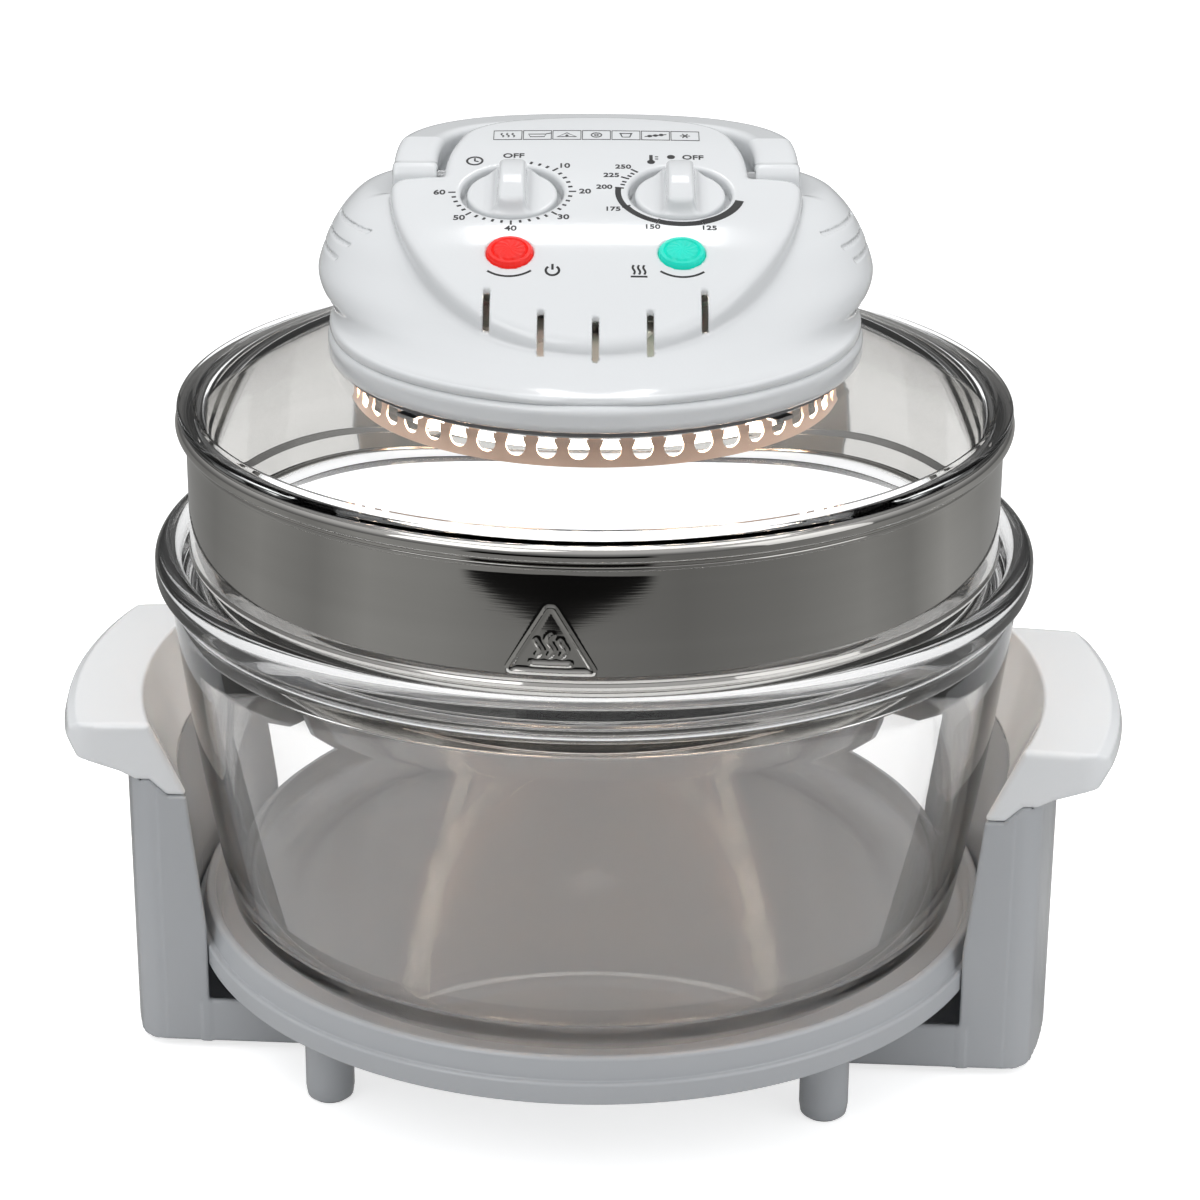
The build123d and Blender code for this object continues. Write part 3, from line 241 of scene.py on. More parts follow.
def sculpted(name, shape, body, slot, replaces=(), place=None, material=None):
    """A piece from sculpt()'s points, quads and normals.

    place moves the points to their spot, and with its second argument True it turns the normals.
    """
    points, quads, normals = shape
    if place:
        points, normals = place(points), place(normals, True)
    mesh = bpy.data.meshes.new(name)
    mesh.from_pydata((points * MM).tolist(), [], quads.tolist())
    corners = points[quads]
    face = np.cross(corners[:, 2] - corners[:, 0], corners[:, 3] - corners[:, 1])
    if (face * normals[quads[:, 0]]).sum() < 0:
        mesh.flip_normals()
    mesh.polygons.foreach_set("use_smooth", [True] * len(mesh.polygons))
    mesh.normals_split_custom_set_from_vertices(normals.tolist())
    return link(name, mesh, body, slot, replaces, material)


def turn_base(p, direction=False):
    """Turns the base under the head. Points and directions turn alike."""
    c, s = cos(BASE_TURN), sin(BASE_TURN)
    return np.stack([c * p[:, 0] - s * p[:, 1], s * p[:, 0] + c * p[:, 1], p[:, 2]], -1)


def mirror_base(p, direction=False):
    """Takes a shape of the right side to the left side of the turned base."""
    return turn_base(p * np.array([-1.0, 1.0, 1.0]))


# ======== finishes
NOISE_LOW, NOISE_HIGH = 0.3, 0.7  # where nearly all of a noise lies
WEAR_SCALE = 2.3  # scale of the roughness over that of the colour
COAT_ROUGHNESS = 0.06
WAVE_SCALE, WAVE_HEIGHT, WAVE_STRENGTH = 9.0, 0.0002, 0.12  # the glass's waviness
GLASS_SCALE, GLASS_ROUGHNESS = 14.0, (0.0, 0.012)
GLASS_SHADOW = 0.92  # the light that each wall lets through in a shadow


def grey(level):
    return (level, level, level, 1)


def feed(tree, node, sockets):
    """Fills a node's inputs: another node's output is linked, anything else is set."""
    for key, value in sockets.items():
        if isinstance(value, bpy.types.NodeSocket):
            tree.links.new(value, node.inputs[key])
        else:
            node.inputs[key].default_value = value
    return node


def new_node(tree, kind, sockets=None):
    return feed(tree, tree.nodes.new("ShaderNode" + kind), sockets or {})


def nodes_of(name):
    material = bpy.data.materials.new(name)
    material.use_nodes = True
    tree = material.node_tree
    return material, tree, tree.nodes["Principled BSDF"]


def noise(tree, scale, detail=4.0, stretch=(1, 1, 1)):
    place = new_node(tree, "TexCoord").outputs["Object"]
    mapping = new_node(tree, "Mapping", {"Vector": place, "Scale": stretch})
    texture = new_node(tree, "TexNoise", {"Vector": mapping.outputs[0], "Scale": scale, "Detail": detail})
    return texture.outputs["Fac"]


def ease(tree, value, start, end, low=0.0, high=1.0, kind="SMOOTHSTEP"):
    """Goes from low to high while the value goes from start to end."""
    node = new_node(tree, "MapRange", {"Value": value, "From Min": start, "From Max": end,
                                       "To Min": low, "To Max": high})
    node.interpolation_type = kind
    return node.outputs["Result"]


def span(tree, value, low, high):
    """Spreads a noise evenly from low to high."""
    return ease(tree, value, NOISE_LOW, NOISE_HIGH, low, high, "LINEAR")


def blend(tree, value, first, second):
    node = tree.nodes.new("ShaderNodeMix")
    node.data_type = "RGBA"
    return feed(tree, node, {0: value, 6: (*first, 1), 7: (*second, 1)}).outputs[2]


def bump(tree, shader, value, distance, strength=1.0):
    node = new_node(tree, "Bump", {"Height": value, "Distance": distance, "Strength": strength})
    feed(tree, shader, {"Normal": node.outputs["Normal"]})


def finish(name, first, second, rough, metallic=0.0, scale=25.0, grain=900.0, depth=0.00002, coat=0.0,
           stretch=(1, 1, 1), glow=(1, 1, 1), power=0.0):
    """An opaque finish: two close colours in soft clouds, a roughness range, a fine grain and a glow."""
    material, tree, shader = nodes_of(name)
    clouds = span(tree, noise(tree, scale, stretch=stretch), 0, 1)
    wear = span(tree, noise(tree, scale * WEAR_SCALE, stretch=stretch), *rough)
    feed(tree, shader, {"Base Color": blend(tree, clouds, first, second), "Roughness": wear,
                        "Metallic": metallic, "Coat Weight": coat, "Coat Roughness": COAT_ROUGHNESS,
                        "Emission Color": (*glow, 1), "Emission Strength": power})
    bump(tree, shader, noise(tree, grain, 2.0, stretch), depth)
    return material


def glass(name, tint, density, ior=1.47):
    """Clear glass: faint waviness, a tint that deepens where the glass is thick, and light let through."""
    material, tree, shader = nodes_of(name)
    feed(tree, shader, {"Base Color": grey(1), "Transmission Weight": 1.0, "IOR": ior,
                        "Roughness": span(tree, noise(tree, GLASS_SCALE), *GLASS_ROUGHNESS)})
    bump(tree, shader, noise(tree, WAVE_SCALE, 1.0), WAVE_HEIGHT, WAVE_STRENGTH)
    shadow = new_node(tree, "LightPath").outputs["Is Shadow Ray"]
    clear = new_node(tree, "BsdfTransparent", {"Color": grey(GLASS_SHADOW)})
    surface = new_node(tree, "MixShader", {0: shadow, 1: shader.outputs[0], 2: clear.outputs[0]})
    volume = new_node(tree, "VolumeAbsorption", {"Color": (*tint, 1), "Density": density})
    feed(tree, tree.nodes["Material Output"], {"Surface": surface.outputs[0], "Volume": volume.outputs[0]})
    return material


METAL = {"metallic": 1.0}
# Two colours, the range of roughness, and what else the finish has.
PLAIN = {
    # The grip caps' white is a lighter copy of the head's white gloss: painted light on the grip tops.
    "grip_gloss_painted_light": ((0.84, 0.85, 0.86), (0.825, 0.835, 0.845), (0.12, 0.17), {"scale": 9, "coat": 0.5}),
    "white_gloss": ((0.79, 0.802, 0.812), (0.778, 0.79, 0.80), (0.10, 0.15), {"scale": 9, "coat": 0.5}),
    # The base's white plastic is set a mid grey: painted shade over the tray, feet and posts.
    "white_base": ((0.47, 0.482, 0.50), (0.46, 0.472, 0.49), (0.20, 0.25), {"scale": 9, "coat": 0.3}),
    "grey_rubber": ((0.22, 0.22, 0.225), (0.17, 0.17, 0.175), (0.6, 0.8), {"depth": 0.0001}),
    "zinc_steel": ((0.55, 0.56, 0.57), (0.46, 0.47, 0.48), (0.25, 0.42), METAL),
    "steel_ring": ((0.62, 0.61, 0.59), (0.54, 0.53, 0.51), (0.035, 0.065),
                   METAL | {"scale": 6.0, "grain": 260.0, "depth": 0.0000025, "stretch": (0.25, 0.25, 6)}),
    # The shade's warm tint and faint glow are painted light from the lamp inside it.
    "lamp_steel": ((0.90, 0.70, 0.58), (0.80, 0.60, 0.49), (0.28, 0.45),
                   METAL | {"glow": (1.0, 0.60, 0.42), "power": 0.12}),
    "red_lens": ((0.62, 0.006, 0.004), (0.48, 0.004, 0.003), (0.28, 0.4),
                 {"scale": 160, "glow": (1.0, 0.02, 0.01), "power": 0.42}),
    "green_lens": ((0.004, 0.50, 0.40), (0.003, 0.38, 0.30), (0.28, 0.4),
                   {"scale": 160, "glow": (0.0, 0.9, 0.66), "power": 0.36}),
    "lamp_glass": ((1.0, 0.9, 0.75), (1.0, 0.85, 0.65), (0.2, 0.3),
                   {"glow": (1.0, 0.88, 0.72), "power": 11.0}),
    "dark_plastic": ((0.02, 0.02, 0.021), (0.012, 0.012, 0.013), (0.4, 0.55), {}),
    "copper": ((0.72, 0.40, 0.24), (0.6, 0.3, 0.18), (0.25, 0.4), METAL),
    "insulation": ((0.20, 0.17, 0.14), (0.14, 0.12, 0.10), (0.8, 0.95), {"depth": 0.0002}),
    "ceramic_white": ((0.82, 0.80, 0.76), (0.76, 0.74, 0.70), (0.5, 0.7), {}),
    "aluminium_fan": ((0.7, 0.71, 0.72), (0.6, 0.61, 0.62), (0.3, 0.42), METAL),
}
finishes = {name: finish(name, first, second, rough, **more)
            for name, (first, second, rough, more) in PLAIN.items()}
finishes["smoky_glass"] = glass("smoky_glass", (0.42, 0.42, 0.42), 34.0)
finishes["clear_glass"] = glass("clear_glass", (0.9, 0.92, 0.91), 3.0, ior=1.16)

node_slot = {part["node"]: part["material_slot"] for part in frame["record"]["subparts"]}
for node, thing in frame["nodes"].items():
    thing.data.materials.clear()
    thing.data.materials.append(finishes[node_slot[node]])


# ======== camera, light and floor
# Metres, as lamps and the camera aren't part of the object.
CAMERA_ELEVATION = radians(21.9)
CAMERA_DISTANCE = 1.3
CAMERA_TARGET = Vector((0, 0, 0.1677))
CAMERA_LENS = 101.16
CAMERA_SENSOR = 36.0
CAMERA_SHIFT = 0.005
CAMERA_ROLL = radians(0.3)
WORLD_COLOUR, WORLD_LIGHT = (0.96, 0.98, 1.0, 1), 0.57
# From and to which height of the view the world eases, and between which strengths.
WORLD_MIRRORED, WORLD_THROUGH = (0.05, 0.80, 0.16, 0.68), (0.02, 0.9, 0.05, 0.38)
FLOOR_HALF = 12.0
FLOOR_LIFT = 0.70  # glow that makes the floor white under a plain light
FLOOR_FADE = (0.95, 1.8)  # where the floor's light on the object dims, from the bowl's axis
FLOOR_FAR = 0.12
DARK_REFLECTION_BEARING = -0.15  # radians; bearing of the painted dark reflection that the steel shows before the lens
DARK_REFLECTION_START, DARK_REFLECTION_END = 0.655, 0.755
DARK_REFLECTION_WIDTH = (-0.03, 0.40)
DARK_REFLECTION_EDGE, DARK_REFLECTION_LEVEL = 0.04, 0.03
# Painted reflection: grey that steel and glass see of the floor, by bearing in degrees from straight ahead.
PANELS = [(-180, 0.34), (-120, 0.24), (-96, 0.34), (-74, 0.26), (-58, 0.36), (-38, 0.32), (-22, 0.26),
          (22, 0.19), (48, 0.24), (72, 0.33), (88, 0.27), (104, 0.42), (125, 0.32), (180, 0.34)]


def make_camera():
    camera = bpy.data.objects.new("camera", bpy.data.cameras.new("camera"))
    scene.collection.objects.link(camera)
    camera.matrix_world = (Matrix.Translation(CAMERA_TARGET)
                           @ Matrix.Rotation(pi / 2 - CAMERA_ELEVATION, 4, "X")
                           @ Matrix.Rotation(CAMERA_ROLL, 4, "Z")
                           @ Matrix.Translation((0, 0, CAMERA_DISTANCE)))
    camera.data.lens = CAMERA_LENS
    camera.data.sensor_width = CAMERA_SENSOR
    camera.data.shift_x = CAMERA_SHIFT
    scene.camera = camera


def calc(tree, operation, a, b=0.0):
    node = tree.nodes.new("ShaderNodeMath")
    node.operation = operation
    return feed(tree, node, {0: a, 1: b}).outputs[0]


def by_ray(tree, plain, mirrored, through, seen):
    """One look for the light itself, and one each for mirror images, glass and the camera."""
    rays = new_node(tree, "LightPath").outputs
    direct = calc(tree, "LESS_THAN", rays["Diffuse Depth"], 0.5)
    result = plain
    for look, ray in ((mirrored, "Is Glossy Ray"), (through, "Is Transmission Ray"), (seen, "Is Camera Ray")):
        share = calc(tree, "MULTIPLY", rays[ray], direct)
        result = new_node(tree, "MixShader", {0: share, 1: result, 2: look}).outputs[0]
    return result


def place_of(tree, space):
    point = new_node(tree, "TexCoord").outputs[space]
    return new_node(tree, "SeparateXYZ", {"Vector": point}).outputs


def make_world():
    """An even light. Mirrors and glass see it fade towards the horizon, and the camera sees white."""
    world = bpy.data.worlds.new("studio")
    scene.world = world
    world.use_nodes = True
    tree = world.node_tree
    tree.nodes.clear()
    height = place_of(tree, "Generated")["Z"]
    looks = [new_node(tree, "Background", {"Color": colour, "Strength": strength}).outputs[0]
             for colour, strength in ((WORLD_COLOUR, WORLD_LIGHT),
                                      (grey(1), ease(tree, height, *WORLD_MIRRORED)),
                                      (grey(1), ease(tree, height, *WORLD_THROUGH)), (grey(1), 1.0))]
    new_node(tree, "OutputWorld", {"Surface": by_ray(tree, *looks)})


def floor_distance(tree):
    place = place_of(tree, "Object")
    squares = [calc(tree, "MULTIPLY", place[axis], place[axis]) for axis in "XY"]
    return calc(tree, "SQRT", calc(tree, "ADD", *squares))


def mirrored_floor(tree):
    """Painted reflection that only steel and glass see of the floor: broad grey panels and a painted dark
    patch before the lens.
    """
    place = place_of(tree, "Object")
    bearing = calc(tree, "ARCTAN2", place["X"], calc(tree, "MULTIPLY", place["Y"], -1.0))
    ramp = tree.nodes.new("ShaderNodeValToRGB")
    stops = ramp.color_ramp.elements
    for k, (angle, level) in enumerate(PANELS):
        stop = stops[k] if k < 2 else stops.new(1.0)
        stop.position = (angle + 180) / 360
        stop.color = (level, level, level * 0.98, 1)
    feed(tree, ramp, {0: calc(tree, "ADD", calc(tree, "MULTIPLY", bearing, 1 / (2 * pi)), 0.5)})
    width = ease(tree, floor_distance(tree), DARK_REFLECTION_START, DARK_REFLECTION_END, *DARK_REFLECTION_WIDTH)
    off_centre = calc(tree, "ABSOLUTE", calc(tree, "ADD", bearing, -DARK_REFLECTION_BEARING))
    past_edge = calc(tree, "SUBTRACT", off_centre, width)
    # The dark patch is a painted reflection for the steel before the lens.
    gap = ease(tree, past_edge, -DARK_REFLECTION_EDGE, DARK_REFLECTION_EDGE, DARK_REFLECTION_LEVEL, 1.0)
    return new_node(tree, "Emission", {"Color": ramp.outputs["Color"], "Strength": gap}).outputs[0]


def area_lamp(name, place, aim, size, power, spread=pi, mirrored=True):
    lamp = bpy.data.lights.new(name, "AREA")
    lamp.shape = "RECTANGLE"
    lamp.size, lamp.size_y = size
    lamp.energy = power
    lamp.spread = spread
    thing = bpy.data.objects.new(name, lamp)
    scene.collection.objects.link(thing)
    thing.visible_glossy = mirrored
    thing.location = place
    thing.rotation_euler = (Vector(aim) - Vector(place)).to_track_quat("-Z", "Y").to_euler()


def make_floor():
    corners = [(x * FLOOR_HALF, y * FLOOR_HALF, 0) for x, y in ((-1, -1), (1, -1), (1, 1), (-1, 1))]
    mesh = bpy.data.meshes.new("floor")
    mesh.from_pydata(corners, [], [(0, 1, 2, 3)])
    floor = bpy.data.objects.new("floor", mesh)
    scene.collection.objects.link(floor)
    material, tree, shader = nodes_of("floor")
    clouds = span(tree, noise(tree, 3.0), 0, 1)
    feed(tree, shader, {"Base Color": blend(tree, clouds, (0.80, 0.80, 0.80), (0.78, 0.78, 0.78)),
                        "Roughness": 0.9, "Specular IOR Level": 0.0})
    lift = new_node(tree, "Emission", {"Strength": FLOOR_LIFT})
    both = new_node(tree, "AddShader", {0: shader.outputs[0], 1: lift.outputs[0]})
    far = new_node(tree, "BsdfDiffuse", {"Color": grey(FLOOR_FAR)})
    away = ease(tree, floor_distance(tree), *FLOOR_FADE)
    fade = new_node(tree, "MixShader", {0: away, 1: both.outputs[0], 2: far.outputs[0]})
    looks = shader.outputs[0], mirrored_floor(tree), fade.outputs[0], both.outputs[0]
    feed(tree, tree.nodes["Material Output"], {"Surface": by_ray(tree, *looks)})
    mesh.materials.append(material)


make_camera()
make_world()
make_floor()
area_lamp("key", (-0.9, -1.1, 1.7), (0, 0, 0.2), (1.2, 1.2), 7.0)
area_lamp("fill", (1.3, -0.8, 1.0), (0, 0, 0.2), (1.0, 1.4), 4.0)
area_lamp("top", (0, 0.1, 1.9), (0, 0, 0.25), (1.4, 1.4), 9.5, mirrored=False)
area_lamp("glint", (0.0, 1.15, 1.9), (0, 0, 0.3), (0.32, 0.3), 1.4)
for side in (-1, 1):
    area_lamp(f"side_{side + 1}", (side * 0.42, 0.05, 0.55), (side * 0.19, 0, 0.137), (0.2, 0.2), 0.05,
              radians(45), False)


# ======== base
TRAY_FLOOR_TOP = 41.7
TRAY_FLOOR_BOTTOM = 39.1
TRAY_BOTTOM = 36.0
TRAY_LIP_TOP = 53.0
TRAY_LIP_RADIUS = 149.3
TRAY_SKIRT_RADIUS = 156.5
TRAY_STEP = 2.4
TRAY_WALL = 2.6
FOOT_RADIUS = 9.2
FOOT_FACE = 7.0
FOOT_BOTTOM, FOOT_SIDE_LOW = 1.0, 5.0
FOOT_CIRCLE = 132.0
FOOT_SEGMENTS = 48
POST_INNER = 156.8
POST_OUTER = 181.0
POST_TOP = 113.7
POST_STEP = 6.0
POST_TAPER = 5.3
POST_SPLIT = (POST_INNER + POST_TAPER + POST_OUTER) / 2
POST_CORNER, POST_EDGE = 8.0, 1.6
SIDE_HALF = 62.0
BRACKET_BOTTOM = 3.0
BRACKET_WALL = 3.0
ARM_TOP = 21.0
ARM_END = 92.0
GRIP_TOP = 137.0
GRIP_OUTER = 205.0
GRIP_INNER = 173.0
GRIP_EDGE, GRIP_CORNER = 1.5, 11.0
GRIP_GRID_START = 140.0
SIDE_PITCH = 1.0
DEEP_INSIDE = -12.0


def make_tray():
    skirt, lip = TRAY_SKIRT_RADIUS, TRAY_LIP_RADIUS
    step = (TRAY_BOTTOM + TRAY_LIP_TOP) / 2
    outer = skirt - TRAY_STEP
    wall = TRAY_WALL
    outline = rounded([
        (0, TRAY_FLOOR_BOTTOM, 0), (lip - wall, TRAY_FLOOR_BOTTOM, 1), (outer - wall, step - wall, 1),
        (skirt - wall, step - wall, 0.6), (skirt - wall, TRAY_BOTTOM, 0.8), (skirt, TRAY_BOTTOM, 0.9),
        (skirt, step, 1.3), (outer, step, 0.7), (outer - wall / 2, TRAY_LIP_TOP, 1.6),
        (lip, TRAY_LIP_TOP, 1.6), (lip - wall, TRAY_FLOOR_TOP, 2.5), (0, TRAY_FLOOR_TOP, 0),
    ])
    lathe("tray", outline, "base", "white_base", ["base_tray"])


def make_feet():
    outline = rounded([(0, FOOT_BOTTOM, 0), (FOOT_FACE, FOOT_BOTTOM, 0.2),
                       (FOOT_RADIUS - 0.6, FOOT_BOTTOM, 0.7), (FOOT_RADIUS, FOOT_SIDE_LOW, 1.0),
                       (FOOT_RADIUS, TRAY_FLOOR_BOTTOM, 0), (0, TRAY_FLOOR_BOTTOM, 0)])
    points, faces = [], []
    reach = FOOT_CIRCLE / sqrt(2)
    for sx in (-1, 1):
        for sy in (-1, 1):
            some, more = lathe_grid(outline, full_turn(FOOT_SEGMENTS))
            start = len(points)
            spot = turn_base(np.array(some) + (sx * reach, sy * reach, 0))
            points += spot.tolist()
            faces += [tuple(start + i for i in face) for face in more]
    link("support_feet", mesh_from("support_feet", points, faces), "base", "white_base", ["feet"])


def post_corners(inset, bottom):
    """The post's section as (radius, height) corners, its top stepped down towards the bowl."""
    low_top = POST_TOP - POST_STEP
    return [(POST_INNER + inset, bottom), (POST_OUTER - inset, bottom), (POST_OUTER - inset, POST_TOP),
            (POST_SPLIT + POST_STEP / 2, POST_TOP), (POST_SPLIT - POST_STEP / 2, low_top),
            (POST_INNER + POST_TAPER + inset, low_top), (POST_INNER + inset, TRAY_LIP_TOP)]


def rounded_ends(radius, ends, outer, r):
    """The rounding of the upright corners, r wide, at the outer face's two ends."""
    corner = np.hypot(np.maximum(radius - outer + r, 0), np.maximum(ends + r, 0)) - r
    return np.where((radius > outer - r) & (ends > -r), corner, DEEP_INSIDE)


def bracket_field(x, y, z):
    """The right post and the arm that carries it, hollow from below."""
    radius = np.sqrt(x * x + y * y)
    post = polygon_field(post_corners(0, BRACKET_BOTTOM))(radius, z)
    ends = np.abs(y) - SIDE_HALF
    post = smax(post, ends, POST_EDGE)
    post = smax(post, rounded_ends(radius, ends, POST_OUTER, POST_CORNER), POST_EDGE / 2)
    arm = smax(smax(z - ARM_TOP, BRACKET_BOTTOM - z, POST_EDGE), smax(ends, ARM_END - x, 2.0), POST_EDGE)
    arm = np.maximum(arm, radius - POST_INNER - BRACKET_WALL)
    whole = smin(post, arm, 1.2)
    floor = BRACKET_BOTTOM + BRACKET_WALL
    inner_ends = ends + BRACKET_WALL
    hollow = np.maximum(polygon_field(post_corners(BRACKET_WALL, floor))(radius, z), inner_ends)
    channel = np.maximum(np.maximum(floor - z, inner_ends), ARM_END + BRACKET_WALL - x)
    channel = np.maximum(channel, radius - POST_INNER)
    return smax(smax(whole, -hollow, 0.6), -channel, 0.8)


def grip_field(x, y, z):
    """The right grip: a crescent on top of the post that leans outwards."""
    radius = np.sqrt(x * x + y * y)
    low = POST_TOP - POST_STEP
    edge = GRIP_EDGE
    core = polygon_field([
        (POST_INNER + POST_TAPER + edge, low + edge), (POST_SPLIT - POST_STEP / 2, low + edge),
        (POST_SPLIT + POST_STEP / 2, POST_TOP + edge), (POST_OUTER - edge, POST_TOP + edge),
        (POST_OUTER + 4, POST_TOP + 3 * edge), (GRIP_OUTER - 5.5, GRIP_TOP - 14),
        (GRIP_OUTER - 2.5, GRIP_TOP - 8), (GRIP_OUTER - 3.4, GRIP_TOP - 4.5),
        (GRIP_OUTER - 6, GRIP_TOP - 2.5), (GRIP_INNER + 2, GRIP_TOP - edge),
    ])(radius, z) - edge
    ends = np.abs(y) - SIDE_HALF
    return smax(smax(core, ends, 2 * edge), rounded_ends(radius, ends, GRIP_OUTER, GRIP_CORNER), edge)


def make_sides():
    bracket = sculpt(bracket_field, (ARM_END, -SIDE_HALF, BRACKET_BOTTOM), (POST_OUTER, SIDE_HALF, POST_TOP),
                     SIDE_PITCH)
    grip = sculpt(grip_field, (GRIP_GRID_START, -SIDE_HALF, POST_TOP - POST_STEP),
                  (GRIP_OUTER, SIDE_HALF, GRIP_TOP), SIDE_PITCH)
    for name, place in (("right", turn_base), ("left", mirror_base)):
        sculpted("bracket_shell_" + name, bracket, "base", "white_base", ["side_bracket_" + name], place)
        # The grip caps take the lighter copy of the white gloss, painted light on their tops.
        sculpted("grip_cap_" + name, grip, "base", "white_gloss", ["handle_grip_" + name], place,
                 finishes["grip_gloss_painted_light"])


make_tray()
make_feet()
make_sides()


# ======== bowl
BOWL_RIM = 167.0
BOWL_RIM_Z = 192.0
BEAD = 5.0
BOWL_WALL = 5.0
BOWL_BASE_Z = 42.0
SHOULDER, BELLY, HEEL, BASE = 162.0, 153.9, 143.0, 119.0
BELLY_Z, HEEL_Z = 117.0, 54.5
LEDGE_Z, LEDGE_RADIUS = 183.5, 147.5
HEEL_REACH, HEEL_RISE = 13.4, 3.25  # the middle of the bend between base and side


def make_bowl():
    neck = BOWL_RIM_Z - 2 * BEAD
    wall = BOWL_WALL
    heel_bend = arc_through((BASE, BOWL_BASE_Z), (BASE + HEEL_REACH, BOWL_BASE_Z + HEEL_RISE),
                            (HEEL, HEEL_Z), 14)
    side = arc_through((HEEL, HEEL_Z), (BELLY, BELLY_Z), (SHOULDER, neck), 48)
    inner_side = arc_through((SHOULDER - wall, LEDGE_Z - 3 * wall), (BELLY - wall, BELLY_Z),
                             (HEEL - wall, HEEL_Z + wall), 44)
    inner_middle = (BASE + HEEL_REACH - 1 - wall, BOWL_BASE_Z + wall + HEEL_RISE)
    inner_bend = arc_through((HEEL - wall, HEEL_Z + wall), inner_middle,
                             (BASE - wall, BOWL_BASE_Z + wall), 14)
    rim = rounded([
        (SHOULDER, neck, 3.0), (BOWL_RIM, neck + BEAD, 3.2), (BOWL_RIM, BOWL_RIM_Z + BEAD, 4.9),
        (BOWL_RIM - 2 * BEAD, BOWL_RIM_Z + BEAD, 4.9), (BOWL_RIM - 2 * BEAD - 0.2, LEDGE_Z, 1.6),
        (LEDGE_RADIUS, LEDGE_Z, 1.6), (LEDGE_RADIUS, LEDGE_Z - wall, 2.0),
        (SHOULDER - wall, LEDGE_Z - 3 * wall, 4.0),
    ])
    outline = [(0, BOWL_BASE_Z)] + heel_bend + side[1:-1] + rim[1:-1] + inner_side[1:] + inner_bend[1:]
    outline += [(0, BOWL_BASE_Z + wall)]
    lathe("bowl_glass", outline, "bowl", "smoky_glass", ["glass_bowl"], sharp=60)


make_bowl()


# ======== extender ring
RING_WALL = 153.5
RING_RIM = 157.3
RING_TOP = 249.0
RING_BEAD = 3.2
SHEET = 1.0
CREASE_Z = 196.5
RING_STEP = 2.4
RING_FOOT_Z = 183.8
BAND = RING_WALL - RING_STEP
SECOND_BEAD_Z, SECOND_BEAD_RISE, SECOND_BEAD_HALF = 240.4, 0.5, 0.9
WALL_TOP, WALL_LOW, WALL_STEP = 238.4, 199.0, 0.7
EMBLEM_ANGLE = radians(-90 - 5.45)
EMBLEM_HALF, EMBLEM_TOP = 19.0, 231.0
EMBLEM_EDGE = polygon_field([(-14.0, 203.2), (14.0, 203.2), (0.9, 225.6), (-0.9, 225.6)])
EMBLEM_RISE = 0.7
FINE_HALF, FINE_STEP = 8.0, 0.22  # degrees of closely spaced points round the emblem
WAVES, WAVE_LOW, WAVE_TOP = (-4.2, 0.0, 4.2), 208.6, 216.0
PLATE_HALF, PLATE_Z = 6.5, 205.6


def emblem(r, z, a):
    """Height of the raised sign on the ring's front: a triangle round three waves over a plate."""
    u = ((a - EMBLEM_ANGLE + pi) % (2 * pi) - pi) * RING_WALL
    if r < RING_WALL - 0.5 or abs(u) > EMBLEM_HALF or not WALL_LOW < z < EMBLEM_TOP:
        return 0.0

    def rise(distance, half, height=EMBLEM_RISE):
        t = min(max(1 - abs(distance) / half, 0), 1)
        return height * t * t * (3 - 2 * t)

    lift = rise(float(EMBLEM_EDGE(np.array(u), np.array(z))) - 0.5, 1.15, 0.65)
    for x in WAVES:
        wave = x + 0.9 * sin((z - WAVE_LOW) * 0.85)
        reach = hypot(u - wave, z - min(max(z, WAVE_LOW), WAVE_TOP - abs(x) * 0.5))
        lift = max(lift, rise(reach, 1.35))
    reach = hypot(u - min(max(u, -PLATE_HALF), PLATE_HALF), z - PLATE_Z)
    return max(lift, rise(reach, 1.2))


def ring_outline():
    """The ring's section: rolled rim, second bead, wall, crease and the foot that stands in the bowl."""
    rim_x, rim_z = RING_RIM - RING_BEAD, RING_TOP - RING_BEAD
    rim = [(rim_x + RING_BEAD * cos(a), rim_z + RING_BEAD * sin(a))
           for a in np.radians(np.linspace(212, -100, 28))]
    second = [(RING_WALL + SECOND_BEAD_RISE * cos(a), SECOND_BEAD_Z + SECOND_BEAD_HALF * sin(a))
              for a in np.radians(np.linspace(80, -80, 8))]
    wall = [(RING_WALL, z) for z in np.arange(WALL_TOP, WALL_LOW, -WALL_STEP)]
    lower = rounded([
        (RING_WALL, WALL_LOW + 1, 0), (RING_WALL, CREASE_Z + 2, 0.8), (RING_WALL + 0.7, CREASE_Z + 0.9, 0.5),
        (RING_WALL + 0.6, CREASE_Z - 0.3, 0.5), (BAND, CREASE_Z - RING_STEP, 0.7), (BAND, RING_FOOT_Z, 1.2),
        (BAND - 3.6, RING_FOOT_Z, 0.4), (BAND - 3.6, RING_FOOT_Z + SHEET, 0.4),
        (BAND - SHEET, RING_FOOT_Z + SHEET, 0.5), (BAND - SHEET, CREASE_Z - RING_STEP + SHEET, 0.5),
        (RING_WALL - SHEET, CREASE_Z + SHEET, 0.7), (RING_WALL - SHEET, 240, 0),
    ])
    return rim + [(RING_WALL, RING_TOP - 2 * RING_BEAD - 0.4)] + second + wall + lower[1:]


def make_ring():
    fine = np.radians(np.arange(-FINE_HALF, FINE_HALF, FINE_STEP)) + EMBLEM_ANGLE
    gap = radians(0.6)
    rest = np.linspace(fine[-1] + gap, fine[0] + 2 * pi - gap, 220)
    points, faces = lathe_grid(ring_outline(), list(fine) + list(rest), emblem)
    mesh = mesh_from("ring_sheet", points, faces, 40)
    link("ring_sheet", mesh, "ring", "steel_ring", ["extender_ring"])


make_ring()


# ======== glass lid
LID_EDGE = 156.6
LID_EDGE_Z = 249.3
LID_CROWN = 267.4
LID_THICK = 4.0
LID_BULGE = 0.62  # share of the rise that the lid has made halfway in
LID_LIP = 150.0
LID_LIP_REACH, LID_LIP_DROP = 3.5, 3.0
LID_HOLE = 93.0
FLANGE = 99.7


